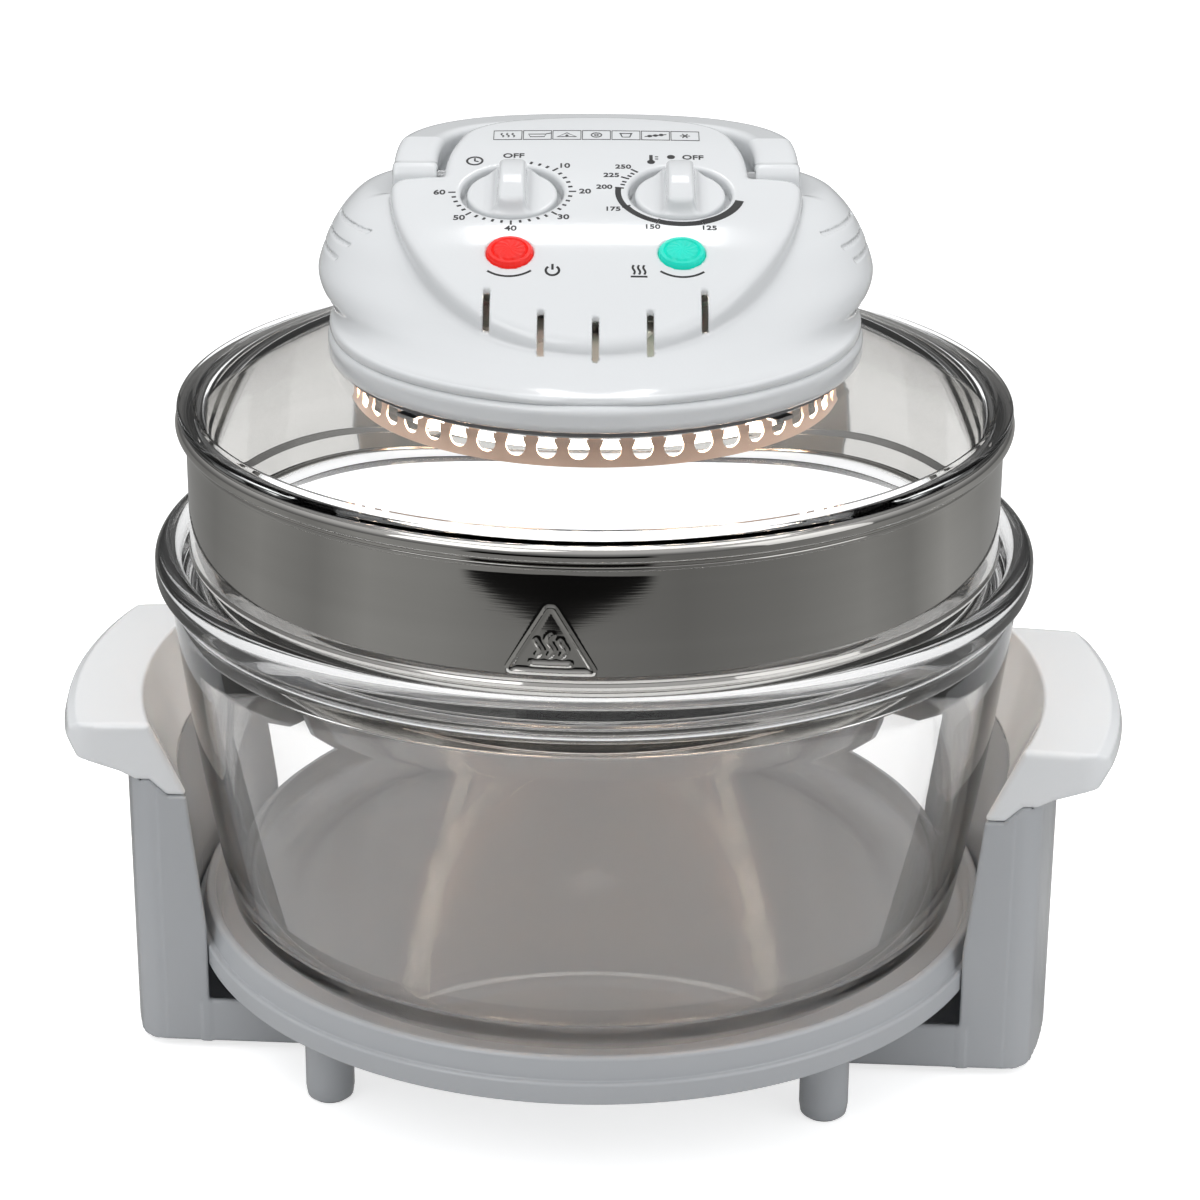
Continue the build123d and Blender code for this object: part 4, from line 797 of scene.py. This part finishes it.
def make_lid():
    thick = LID_THICK
    mid = (LID_LIP + FLANGE) / 2
    mid_top = LID_EDGE_Z + thick + (LID_CROWN - LID_EDGE_Z - thick) * LID_BULGE
    top = arc_through((LID_LIP, LID_EDGE_Z + thick), (mid, mid_top), (FLANGE, LID_CROWN), 24)
    inner, low = LID_LIP - LID_LIP_REACH, LID_EDGE_Z - LID_LIP_DROP
    under = arc_through((FLANGE - 1, LID_CROWN - thick), (mid - 1, mid_top - thick), (inner, low + 1), 24)
    edge = rounded([(inner, low + 1, 0), (inner + 1, low, 0.6), (LID_LIP, low, 0.6),
                    (LID_LIP, LID_EDGE_Z, 0.5), (LID_EDGE, LID_EDGE_Z, 1.0),
                    (LID_EDGE, LID_EDGE_Z + thick * 0.8, 1.6), (LID_LIP, LID_EDGE_Z + thick, 2.0)])
    outline = edge[1:-1] + top + [(LID_HOLE, LID_CROWN), (LID_HOLE, LID_CROWN - thick)] + under
    lathe("lid_glass", outline, "head", "clear_glass", ["glass_lid"], sharp=50)


make_lid()


# ======== head shell
SHELL_FOOT = 277.5
SHELL_HEIGHT = 50.0
SHELL_WALL = 2.8
LOBE_HALF = 103.8
FRONT_REACH = 94.0
REAR_REACH = 95.0
PANEL_HALF = 76.5
PANEL_FRONT = 76.0
PANEL_WIDEST_Y = 15.0
PANEL_RIM_STEP = 1.0
PANEL_CROWN = 1.2
POCKET_FLOOR = 323.0
POCKET_FRONT = 18.0
CROWN_REAR = 66.5
KNOB_X, KNOB_Y, KNOB_TILT = 31.0, 5.0, radians(15.7)
KNOB_Z, LENS_Z = 328.0, 316.5
LENS_X, LENS_Y, LENS_TILT = 31.0, -34.0, radians(21.0)
WELL_RADIUS, WELL_DEPTH = 19.0, 6.0
SPINDLE_HOLE, SPINDLE_RADIUS, SPINDLE_LENGTH = 5.8, 3.0, 16.0
LENS_RADIUS, LENS_SEAT = 8.4, 6.0
SLOT_PITCH, SLOT_WIDTH, SLOT_RUN, SLOT_DEPTH = 19.4, 2.3, 13.0, 6.5
FLARE_RADIUS, FLARE_FOOT, FLARE_TOP = 98.4, 279.2, 282.5
LOUVRE_PITCH, LOUVRE_HALF, LOUVRE_Y, LOUVRE_Z = 5.0, 15.0, 10.0, SHELL_FOOT + 27.5
LOUVRE_WIDTH, LOUVRE_DEPTH = 1.0, 0.8
CATCH_X, CATCH_Y, CATCH_Z, CATCH_REACH = 91.0, -32.0, 291.0, 4.0
DOME_EDGE, PANEL_EDGE = 12.0, 3.6
SHELL_TOP, SHELL_PITCH = 343.0, 0.9

# The dome's half width and its reach to the front and the rear, by the share of its height.
lobe_width = smooth_curve([(0, .910), (.13, .925), (.21, .948), (.28, .980), (.38, 1.0), (.53, .985),
                           (.73, .935), (.90, .860), (1, .80)])
front_reach = smooth_curve([(0, 1.0), (.13, .935), (.21, .86), (.28, .785), (.38, .70), (.53, .58),
                            (.73, .42), (.90, .20), (1, -.10)])
rear_reach = smooth_curve([(0, .99), (.13, 1.0), (.28, .998), (.38, .99), (.53, .978), (.73, .955),
                           (.90, .925), (1, .88)])
# The panel's height along its middle, and the crown's half width behind the knobs, by y.
ridge = smooth_curve([(-100, 281), (-84, 290.5), (-63, 301.5), (-33, 316.6), (5, 328.2), (45, 338.6),
                      (72, 342.6), (100, 343)])
crown_half = smooth_curve([(10, 57.2), (18, 57), (26, 56.6), (35, 55.4), (43, 53.2), (50, 50.6),
                           (56, 46.2), (61, 40), (68, 29)])


def panel_top(x, y):
    return ridge(y) - PANEL_CROWN * (x / PANEL_HALF) ** 2


def local(x, y, z, spot, tilt):
    """Distance from a tilted axis through a spot on the panel, and height along it."""
    dx, dy, dz = x - spot[0], y - spot[1], z - spot[2]
    up = -sin(tilt) * dy + cos(tilt) * dz
    along = cos(tilt) * dy + sin(tilt) * dz
    return np.sqrt(dx * dx + along * along), up


def tilted(spot, tilt):
    """Takes a piece from its own frame, axis up, to a spot on the panel."""
    def place(p, direction=False):
        x, y, z = p[:, 0], p[:, 1], p[:, 2]
        out = np.stack([x, cos(tilt) * y - sin(tilt) * z, sin(tilt) * y + cos(tilt) * z], -1)
        return out if direction else out + np.array(spot)

    return place


def knob_spot(side):
    return (side * KNOB_X, KNOB_Y, KNOB_Z)


def lens_spot(side):
    return (side * LENS_X, LENS_Y, LENS_Z)


def panel_plan(x, y):
    """The panel's outline from above: a half ellipse in front, and behind it the narrower crown."""
    deep = PANEL_FRONT + PANEL_WIDEST_Y
    dy = np.minimum(y - PANEL_WIDEST_Y, 0)
    q = np.sqrt((x / PANEL_HALF) ** 2 + (dy / deep) ** 2)
    slope = np.sqrt((x / PANEL_HALF**2) ** 2 + (dy / deep**2) ** 2) / np.maximum(q, TINY)
    shoulder = y - POCKET_FRONT + 0.008 * np.maximum(np.abs(x) - 60, 0) ** 2
    front = smax((q - 1) / np.maximum(slope, 1 / deep), shoulder, 5.0)
    rear = y - CROWN_REAR + 5.5 * (x / 40.0) ** 2
    crown = smax(smax(np.abs(x) - crown_half(y), rear, 6.0), POCKET_FRONT - 15 - y, 1.0)
    return smin(front, crown, 3.0)


def dome_side(x, y, z):
    """The dome's wall: at each height an ellipse, wide at the lobes and drawn back in front."""
    share = (z - SHELL_FOOT) / SHELL_HEIGHT
    half = LOBE_HALF * lobe_width(share)
    low, high = -FRONT_REACH * front_reach(share), REAR_REACH * rear_reach(share)
    centre, deep = (low + high) / 2, (high - low) / 2
    u, v = x / half, (y - centre) / deep
    q = np.sqrt(u * u + v * v)
    slope = np.sqrt((u / half) ** 2 + (v / deep) ** 2) / np.maximum(q, TINY)
    return (q - 1) / np.maximum(slope, 1 / LOBE_HALF)


def head_form(x, y, z):
    """The upper housing as one solid, without its openings."""
    top = (z - panel_top(x, y)) * 0.95
    dome = smax(dome_side(x, y, z), z - SHELL_FOOT - SHELL_HEIGHT, DOME_EDGE)
    skirt = smax(np.sqrt(x * x + y * y) - FLARE_RADIUS, smax(z - FLARE_TOP, FLARE_FOOT - z, 1.2), 1.6)
    dome = smin(dome, skirt, 7.0)
    dome = smax(dome, top + PANEL_RIM_STEP, 3.0)
    pocket = smax(POCKET_FLOOR - z, POCKET_FRONT - y, 3.0)
    dome = smax(dome, -pocket, 2.0)
    plan = panel_plan(x, y)
    panel = np.maximum(smax(plan, top, PANEL_EDGE), SHELL_FOOT + 2 - z)
    return smin(dome, panel, np.clip(2 + plan / 3, 0.05, 2.0))


def slot_spots():
    """Where each slot begins on the panel's front edge."""
    deep = PANEL_FRONT + PANEL_WIDEST_Y
    for i in range(-2, 3):
        x = i * SLOT_PITCH
        yield x, PANEL_WIDEST_Y - deep * sqrt(1 - (x / PANEL_HALF) ** 2)


def head_field(x, y, z):
    """The upper housing: a shell with wells for the knobs and lenses, slots, louvres and a catch."""
    outer = head_form(x, y, z)
    shell = np.maximum(outer, -(outer + SHELL_WALL))
    seats = [local(x, y, z, knob_spot(side), KNOB_TILT) + local(x, y, z, lens_spot(side), LENS_TILT)
             for side in (-1, 1)]
    for r, up, r2, up2 in seats:
        cup = np.maximum(r - WELL_RADIUS - SHELL_WALL, -WELL_DEPTH - SHELL_WALL - up)
        shell = np.minimum(shell, np.maximum(np.maximum(cup, outer), up - 4))
        seat = np.maximum(r2 - LENS_RADIUS - SHELL_WALL, -LENS_SEAT - up2)
        shell = np.minimum(shell, np.maximum(seat, outer))
    for r, up, r2, up2 in seats:
        shell = smax(shell, -np.maximum(r - WELL_RADIUS, -WELL_DEPTH - up), 1.6)
        shell = np.maximum(shell, -np.maximum(r - SPINDLE_HOLE, -3 * WELL_DEPTH - up))
        shell = smax(shell, -np.maximum(r2 - LENS_RADIUS - 0.2, -2 * LENS_SEAT - up2), 0.7)
    for sx, edge in slot_spots():
        along = np.abs(y - edge - SLOT_RUN / 2 + 1) - SLOT_RUN / 2 - 1
        box = smax(np.abs(x - sx) - SLOT_WIDTH / 2, along, 1.0)
        shell = smax(shell, -np.maximum(box, ridge(edge) - SLOT_DEPTH - z), 0.7)
    for i in range(3):
        height = np.abs(z - LOUVRE_Z - i * LOUVRE_PITCH) - LOUVRE_WIDTH / 2
        line = smax(np.abs(y - LOUVRE_Y) - LOUVRE_HALF, height, 0.6)
        shell = smax(shell, -np.maximum(line, -outer - LOUVRE_DEPTH), LOUVRE_DEPTH)
    bar = smax(np.abs(x - y - CATCH_X + CATCH_Y) - 1.0, np.abs(z - CATCH_Z) - 2.2, 0.4)
    catch = smax(np.hypot(x - CATCH_X, y - CATCH_Y) - CATCH_REACH, bar, 0.4)
    return np.maximum(np.maximum(shell, -catch), SHELL_FOOT - z)


sculpted("head_shell",
         sculpt(head_field, (-LOBE_HALF, -FRONT_REACH, SHELL_FOOT), (LOBE_HALF, REAR_REACH, SHELL_TOP),
                SHELL_PITCH),
         "head", "white_gloss", ["upper_housing"])


# ======== head flange
SHADE_RADIUS = 90.0
SPIGOT = 92.6
FLANGE_LOW, FLANGE_HIGH = 269.0, 279.0
FLANGE_EDGE = 3.4
FLANGE_DECK_LOW = 275.0
FLANGE_BORE, SHAFT_HOLE = 95.2, 7.0
SPIGOT_LOW = FLANGE_LOW - 5.6
FLANGE_PITCH = 0.8
VENT_COUNT, VENT_IN, VENT_OUT, VENT_HALF = 10, 48.0, 62.0, 2.0


def flange_field(x, y, z):
    """The lower housing: a rounded rim, a spigot into the lid's hole and a vented deck."""
    r = np.sqrt(x * x + y * y)
    rim = smax(r - FLANGE, smax(z - FLANGE_HIGH, FLANGE_LOW - z, FLANGE_EDGE), FLANGE_EDGE)
    rim = np.maximum(rim, -np.maximum(r - FLANGE_BORE, SHELL_FOOT - z))
    spigot = smax(r - SPIGOT, smax(z - SHELL_FOOT, SPIGOT_LOW - z, 1.0), 1.0)
    whole = np.minimum(rim, spigot)
    whole = smax(whole, -np.maximum(r - SHADE_RADIUS - 0.2, z - FLANGE_DECK_LOW), 0.5)
    whole = np.maximum(whole, SHAFT_HOLE - r)
    turn = np.arctan2(y, x) * VENT_COUNT / (2 * pi)
    across = np.abs(turn - np.round(turn)) * 2 * pi / VENT_COUNT * r - VENT_HALF
    along = np.abs(r - (VENT_IN + VENT_OUT) / 2) - (VENT_OUT - VENT_IN) / 2
    return smax(whole, -smax(across, along, 1.0), 0.4)


sculpted("head_flange",
         sculpt(flange_field, (-FLANGE, -FLANGE, SPIGOT_LOW), (FLANGE, FLANGE, FLANGE_HIGH), FLANGE_PITCH),
         "head", "white_gloss", ["lower_housing"])


# ======== prints on the panel
PRINT_TOP, PRINT_BOTTOM = 0.10, -0.15  # above and below the panel
PRINT_STEPS = 8  # moves of the prints onto the head's surface
LETTER_WEIGHT = 0.022  # thickening of the letters, as a share of their size
DEGREES_PER_MINUTE = 4.5
TIMER_TEXT, DIAL_TEXT, WORD_TEXT = 4.5, 4.0, 4.6
TICK_START = 20.9
ICON_LINE = 0.35
ICON_PITCH, ICON_HALF, ICON_TALL, ICON_GROW, ICON_Y, ICON_TILT = 11.2, 5.3, 3.9, 1.3, 47.0, radians(10)


def ribbon(points, width, closed=False):
    """A flat band along a line of (u, v) points: corners as (u, v, layer) and closed faces."""
    line = [Vector(p) for p in points]
    count = len(line)
    corners, faces = [], []
    for i, here in enumerate(line):
        before = line[i - 1] if closed or i else here
        after = line[(i + 1) % count] if closed or i < count - 1 else here
        way = (after - before).normalized()
        side = Vector((-way.y, way.x)) * width / 2
        for spot in (here + side, here - side):
            corners += [(spot.x, spot.y, 1), (spot.x, spot.y, 0)]
    for i in range(count if closed else count - 1):
        a, b = 4 * i, 4 * ((i + 1) % count)
        faces += [(a, a + 2, b + 2, b), (a + 1, b + 1, b + 3, a + 3), (a, b, b + 1, a + 1),
                  (a + 2, a + 3, b + 3, b + 2)]
    if not closed:
        last = 4 * (count - 1)
        faces += [(0, 1, 3, 2), (last, last + 2, last + 3, last + 1)]
    return corners, faces


def patch(points):
    """A flat filled outline."""
    count = len(points)
    corners = [(u, v, 1) for u, v in points] + [(u, v, 0) for u, v in points]
    faces = [tuple(range(count)), tuple(range(2 * count - 1, count - 1, -1))]
    faces += [(i, i + count, (i + 1) % count + count, (i + 1) % count) for i in range(count)]
    return corners, faces


def arc(radius, start, end, centre=(0, 0), step=4.0):
    """Points along an arc, its angles in degrees."""
    count = max(2, ceil(abs(end - start) / step))
    return swept(centre, radius, radians(start), radians(end - start), count)


def moved(shape, du, dv, grow=1.0):
    corners, faces = shape
    return [(u * grow + du, v * grow + dv, w) for u, v, w in corners], faces


def written(text, size, u, v):
    """Upright characters centred on (u, v)."""
    curve = bpy.data.curves.new("word", "FONT")
    curve.body = text
    curve.size = size
    curve.align_x = "CENTER"
    curve.align_y = "CENTER"
    curve.extrude = 0.5
    curve.offset = size * LETTER_WEIGHT
    curve.resolution_u = 4
    word = bpy.data.objects.new("word", curve)
    mesh = bpy.data.meshes.new_from_object(word)
    corners = [(u + p.co.x, v + p.co.y, 1 if p.co.z > 0 else 0) for p in mesh.vertices]
    faces = [tuple(face.vertices) for face in mesh.polygons]
    bpy.data.objects.remove(word)
    bpy.data.curves.remove(curve)
    bpy.data.meshes.remove(mesh)
    return corners, faces


def tick(angle, inner, outer, width):
    a = radians(angle)
    return ribbon([(inner * cos(a), inner * sin(a)), (outer * cos(a), outer * sin(a))], width)


def timer_scale():
    """OFF at the top, then sixty minutes clockwise over three quarters of a turn."""
    marks = [written("OFF", WORD_TEXT, 0, 26.2)]
    for minute in range(0, 61, 2):
        outer, width = (23.6, 0.75) if minute % 10 == 0 else (22.5, 0.95)
        marks.append(tick(90 - minute * DEGREES_PER_MINUTE, TICK_START, outer, width))
    for minute in range(10, 61, 10):
        a = radians(90 - minute * DEGREES_PER_MINUTE)
        marks.append(written(str(minute), TIMER_TEXT, 26.9 * cos(a), 26.2 * sin(a)))
    return marks


def thermostat_scale():
    """OFF at the top, then from 125 to 250 degrees clockwise, over a band that thins out as it goes."""
    marks = [written("OFF", WORD_TEXT, 5.2, 25.6), patch(arc(1.5, 0, 345, (-3.0, 25.8), 15))]
    stops = [(-69, "125"), (-112, "150"), (-152, "175"), (-187, "200"), (-206, "225"), (-222, "250")]
    for angle, text in stops:
        a = radians(angle)
        marks.append(tick(angle, TICK_START, 24.2, 0.75))
        marks.append(written(text, DIAL_TEXT, 28.2 * cos(a), 26.8 * sin(a)))
    edges = [-12] + [angle for angle, _ in stops[:4]]
    for k, (a, b) in enumerate(zip(edges, edges[1:])):
        outside = arc(24.0, a - 1.2, b + 1.2)
        inside = arc(20.8 + 0.35 * k, a - 1.2, b + 1.2)
        marks.append(patch(outside + inside[::-1]))
    marks += [tick(angle, TICK_START, 22.6, 0.8) for angle in (-193.5, -199, -211, -216.5)]
    return marks


def steam(u, low, high, width):
    points = [(u + 0.4 * sin(2 * pi * i / 8), low + (high - low) * i / 8) for i in range(9)]
    return ribbon(points, width)


def cooking_icons():
    """Seven small framed pictures: steam, a pan, a slice, a ring, a cup, a skewer and a star."""
    def line(points, closed=False, width=ICON_LINE):
        return ribbon(points, width, closed)

    pictures = [
        [steam(u, -1.3, 1.3, ICON_LINE) for u in (-1.6, 0, 1.6)],
        [line([(-2.6, 0.6), (-2.0, -1.2), (2.0, -1.2), (2.6, 0.6)], True), line([(2.6, 0.8), (4.0, 1.3)])],
        [line([(-2.8, -1.2), (0, 1.4), (2.8, -1.2)], True), patch(arc(0.5, 0, 300, (0, -0.3), 60))],
        [line(arc(1.5, 0, 330, step=30), True), line(arc(0.6, 0, 300, step=60), True, 0.3)],
        [line([(-1.6, 1.2), (-1.1, -1.3), (1.1, -1.3), (1.6, 1.2)]), line([(-1.9, 1.2), (1.9, 1.2)])],
        [line([(-3.2, -0.8), (3.2, 0.8)], width=0.3)]
        + [patch(arc(0.75, 0, 315, (u, u / 4), 45)) for u in (-1.7, 0, 1.7)],
        [tick(angle, -1.5, 1.5, 0.32) for angle in (0, 60, 120)],
    ]
    frame_corners = [(-ICON_HALF, -ICON_TALL), (ICON_HALF, -ICON_TALL), (ICON_HALF, ICON_TALL),
                     (-ICON_HALF, ICON_TALL)]
    marks = []
    for i, picture in enumerate(pictures):
        u = (i - 3) * ICON_PITCH
        marks.append(moved(line(frame_corners, True, 0.45), u, 0))
        marks += [moved(mark, u, 0, ICON_GROW) for mark in picture]
    return marks


def printed(name, groups):
    """All the marks as one thin piece that follows the panel; each group has a centre and a tilt."""
    points, faces = [], []
    for (cx, cy), tilt, marks in groups:
        for corners, some in marks:
            faces += [tuple(len(points) + i for i in face) for face in some]
            points += [(cx + u, cy + v * cos(tilt), PRINT_TOP if layer else PRINT_BOTTOM)
                       for u, v, layer in corners]
    points = np.array(points)
    x, y = points[:, 0], points[:, 1]
    height = panel_top(x, y)
    for _ in range(PRINT_STEPS):
        height = height - head_form(x, y, height)
    points[:, 2] += height
    return link(name, mesh_from(name, points, faces), "head", "dark_plastic")


def make_prints():
    clock = [ribbon(arc(2.9, 0, 340, step=20), 0.8, True), ribbon([(0, 1.9), (0, 0), (1.4, -0.6)], 0.7)]
    thermometer = [patch(arc(1.5, 0, 330, (0, -2.0), 30)), ribbon([(0, -1), (0, 3.2)], 1.3),
                   ribbon([(1.5, 0.3), (2.7, 0.3)], 0.55), ribbon([(1.5, 2.0), (2.7, 2.0)], 0.55)]
    power = [ribbon(arc(2.4, -230, 50, step=14), 0.85), ribbon([(0, 0.4), (0, 3.2)], 0.85)]
    heat = [steam(u, -1.8, 2.8, 0.75) for u in (-1.9, 0, 1.9)] + [ribbon([(-3.0, -2.9), (3.0, -2.9)], 0.75)]
    groups = [((-KNOB_X, KNOB_Y), KNOB_TILT, timer_scale() + [moved(mark, -14.5, 22.6) for mark in clock]),
              ((KNOB_X, KNOB_Y), KNOB_TILT,
               thermostat_scale() + [moved(mark, -10.5, 23.8) for mark in thermometer])]
    for side, icon in ((-1, power), (1, heat)):
        marks = [ribbon(arc(12.4, -129, -51), 0.8)] + [moved(mark, -side * 15.5, -9.6) for mark in icon]
        groups.append(((side * LENS_X, LENS_Y), LENS_TILT, marks))
    groups.append(((0, ICON_Y), ICON_TILT, cooking_icons()))
    printed("panel_prints", groups)


make_prints()


# ======== lenses
LENS_FACETS = 24
LENS_FLANGE, LENS_CROWN = 1.6, 1.6


def make_lens(name, node, slot, side):
    """A round lens whose dome is cut in facets, with a flange behind the panel."""
    count, back, seat = LENS_FACETS, -LENS_SEAT - LENS_FLANGE, -LENS_SEAT
    # Radius, height and how far every second point of a row is lifted.
    flange = LENS_RADIUS + LENS_FLANGE
    turned = [(flange, back, 0), (flange, seat, 0), (LENS_RADIUS, seat, 0), (LENS_RADIUS, 0.1, 0),
              (7.9, 0.8, 0), (6.8, 0.9, 0), (6.3, 0.3, 0)]
    rows = turned + [(5.6, 0.9, 0.25), (2.9, 1.5, -0.25)]
    points = [(0, 0, back), (0, 0, LENS_CROWN)]
    for radius, height, zigzag in rows:
        points += [(radius * cos(a), radius * sin(a), height + zigzag * (i % 2))
                   for i, a in enumerate(full_turn(count))]
    faces = [(0, 2 + (i + 1) % count, 2 + i) for i in range(count)]
    for k in range(len(rows) - 1):
        for i in range(count):
            a, b, j = 2 + k * count, 2 + (k + 1) * count, (i + 1) % count
            if k < len(turned) - 1:
                faces.append((a + i, a + j, b + j, b + i))
            else:
                faces += [(a + i, a + j, b + i), (a + j, b + j, b + i)]
    top = 2 + (len(rows) - 1) * count
    faces += [(top + i, top + (i + 1) % count, 1) for i in range(count)]
    spots = tilted(lens_spot(side), LENS_TILT)(np.array(points, float))
    return link(name, mesh_from(name, spots, faces, 12), "head", slot, [node])


# ======== controls
KNOB_RADIUS = 17.0
KNOB_LOW = -WELL_DEPTH + 0.3
KNOB_SKIRT = 5.0
KNOB_DRAFT = 0.3
KNOB_PITCH, KNOB_GRID_TOP = 0.5, 8
BAR_WIDTH, BAR_HEIGHT = 11.5, 8.5
BAR_DRAFT, BAR_END_DRAFT, BAR_CROWN = 0.12, 0.18, 0.010
PIVOT_Y, PIVOT_Z, END_RADIUS = 24.6, 328.4, 5.1
ARM_INNER, ARM_OUTER = 59.5, 76.0
HANDLE_REAR, BAR_DEPTH = 86.0, 15.5
HANDLE_LOW, HANDLE_TOP = POCKET_FLOOR + 0.3, POCKET_FLOOR + 15.3
HANDLE_DROP = 0.5  # top of the arms below the panel's ridge line
HANDLE_EDGE = 3.2
HANDLE_GRID_TOP, HANDLE_PITCH = 339.0, 0.8
OUTER_POWER, OUTER_SCALE = 2.65, 60  # squareness of the handle's outline, and its field in millimetres
INNER_POWER, INNER_SCALE = 3.0, 45
PIN_HOLE, PIN_WALL = 2.55, 3.0


def knob_field(x, y, z):
    """A knob in its own frame, its axis up and its bar along Y."""
    r = np.sqrt(x * x + y * y)
    top = KNOB_LOW + KNOB_SKIRT
    side = r - KNOB_RADIUS + KNOB_DRAFT * (z - KNOB_LOW) / KNOB_SKIRT
    skirt = smax(side, smax(z - top, KNOB_LOW - z, 0.5), 1.2)
    width = BAR_WIDTH / 2 - BAR_DRAFT * (z - top)
    bar = smax(np.abs(x) - width, z - top - BAR_HEIGHT + BAR_CROWN * y * y, 1.8)
    bar = smax(bar, r - KNOB_RADIUS + 1.0 + BAR_END_DRAFT * np.maximum(z - top, 0), 2.0)
    bar = np.maximum(bar, KNOB_LOW - z)
    spindle = np.maximum(r - SPINDLE_RADIUS, np.maximum(z - top, -WELL_DEPTH - SPINDLE_LENGTH - z))
    return smin(smin(skirt, bar, 5.0), spindle, 0.3)


def make_knobs():
    low = (-KNOB_RADIUS, -KNOB_RADIUS, -WELL_DEPTH - SPINDLE_LENGTH)
    shape = sculpt(knob_field, low, (KNOB_RADIUS, KNOB_RADIUS, KNOB_GRID_TOP), KNOB_PITCH)
    for name, body, node, side in (("timer_dial_knob", "timer_dial", "timer_knob", -1),
                                   ("thermostat_dial_knob", "thermostat_dial", "thermostat_knob", 1)):
        sculpted(name, shape, body, "white_gloss", [node], tilted(knob_spot(side), KNOB_TILT))


def squared_oval(x, y, half, deep, power):
    """1 on the outline of an oval with squared shoulders, less inside."""
    return ((x / half) ** power + (y / deep) ** power) ** (1 / power)


def handle_field(x, y, z):
    """The carry handle lying round the crown, its arms flush with the panel."""
    ax = np.abs(x)
    dy = np.maximum(y - PIVOT_Y, 0)
    outer = squared_oval(ax, dy, ARM_OUTER, HANDLE_REAR - PIVOT_Y, OUTER_POWER)
    inner = squared_oval(ax, dy, ARM_INNER, HANDLE_REAR - BAR_DEPTH - PIVOT_Y, INNER_POWER)
    plan = smax((outer - 1) * OUTER_SCALE, (1 - inner) * INNER_SCALE, 1.5)
    top = np.minimum(HANDLE_TOP, ridge(y) - HANDLE_DROP)
    bar = smax(plan, smax(z - top, HANDLE_LOW - z, 1.0), HANDLE_EDGE)
    bar = smax(bar, PIVOT_Y - y, 0.3)
    arms = smax(ax - ARM_OUTER, ARM_INNER - ax, 1.0)
    reach = np.hypot(y - PIVOT_Y, z - PIVOT_Z)
    eye = smax(reach - END_RADIUS, arms, 1.6)
    pin = np.maximum(reach - PIN_HOLE, ax - ARM_OUTER + PIN_WALL)
    return np.maximum(smin(bar, eye, 1.2), -pin)


make_knobs()
sculpted("handle_bow",
         sculpt(handle_field, (-ARM_OUTER, PIVOT_Y - END_RADIUS, POCKET_FLOOR),
                (ARM_OUTER, HANDLE_REAR, HANDLE_GRID_TOP), HANDLE_PITCH),
         "bow", "white_gloss", ["carry_handle"])
make_lens("lens_power", "power_lens", "red_lens", -1)
make_lens("lens_heat", "heat_lens", "green_lens", 1)
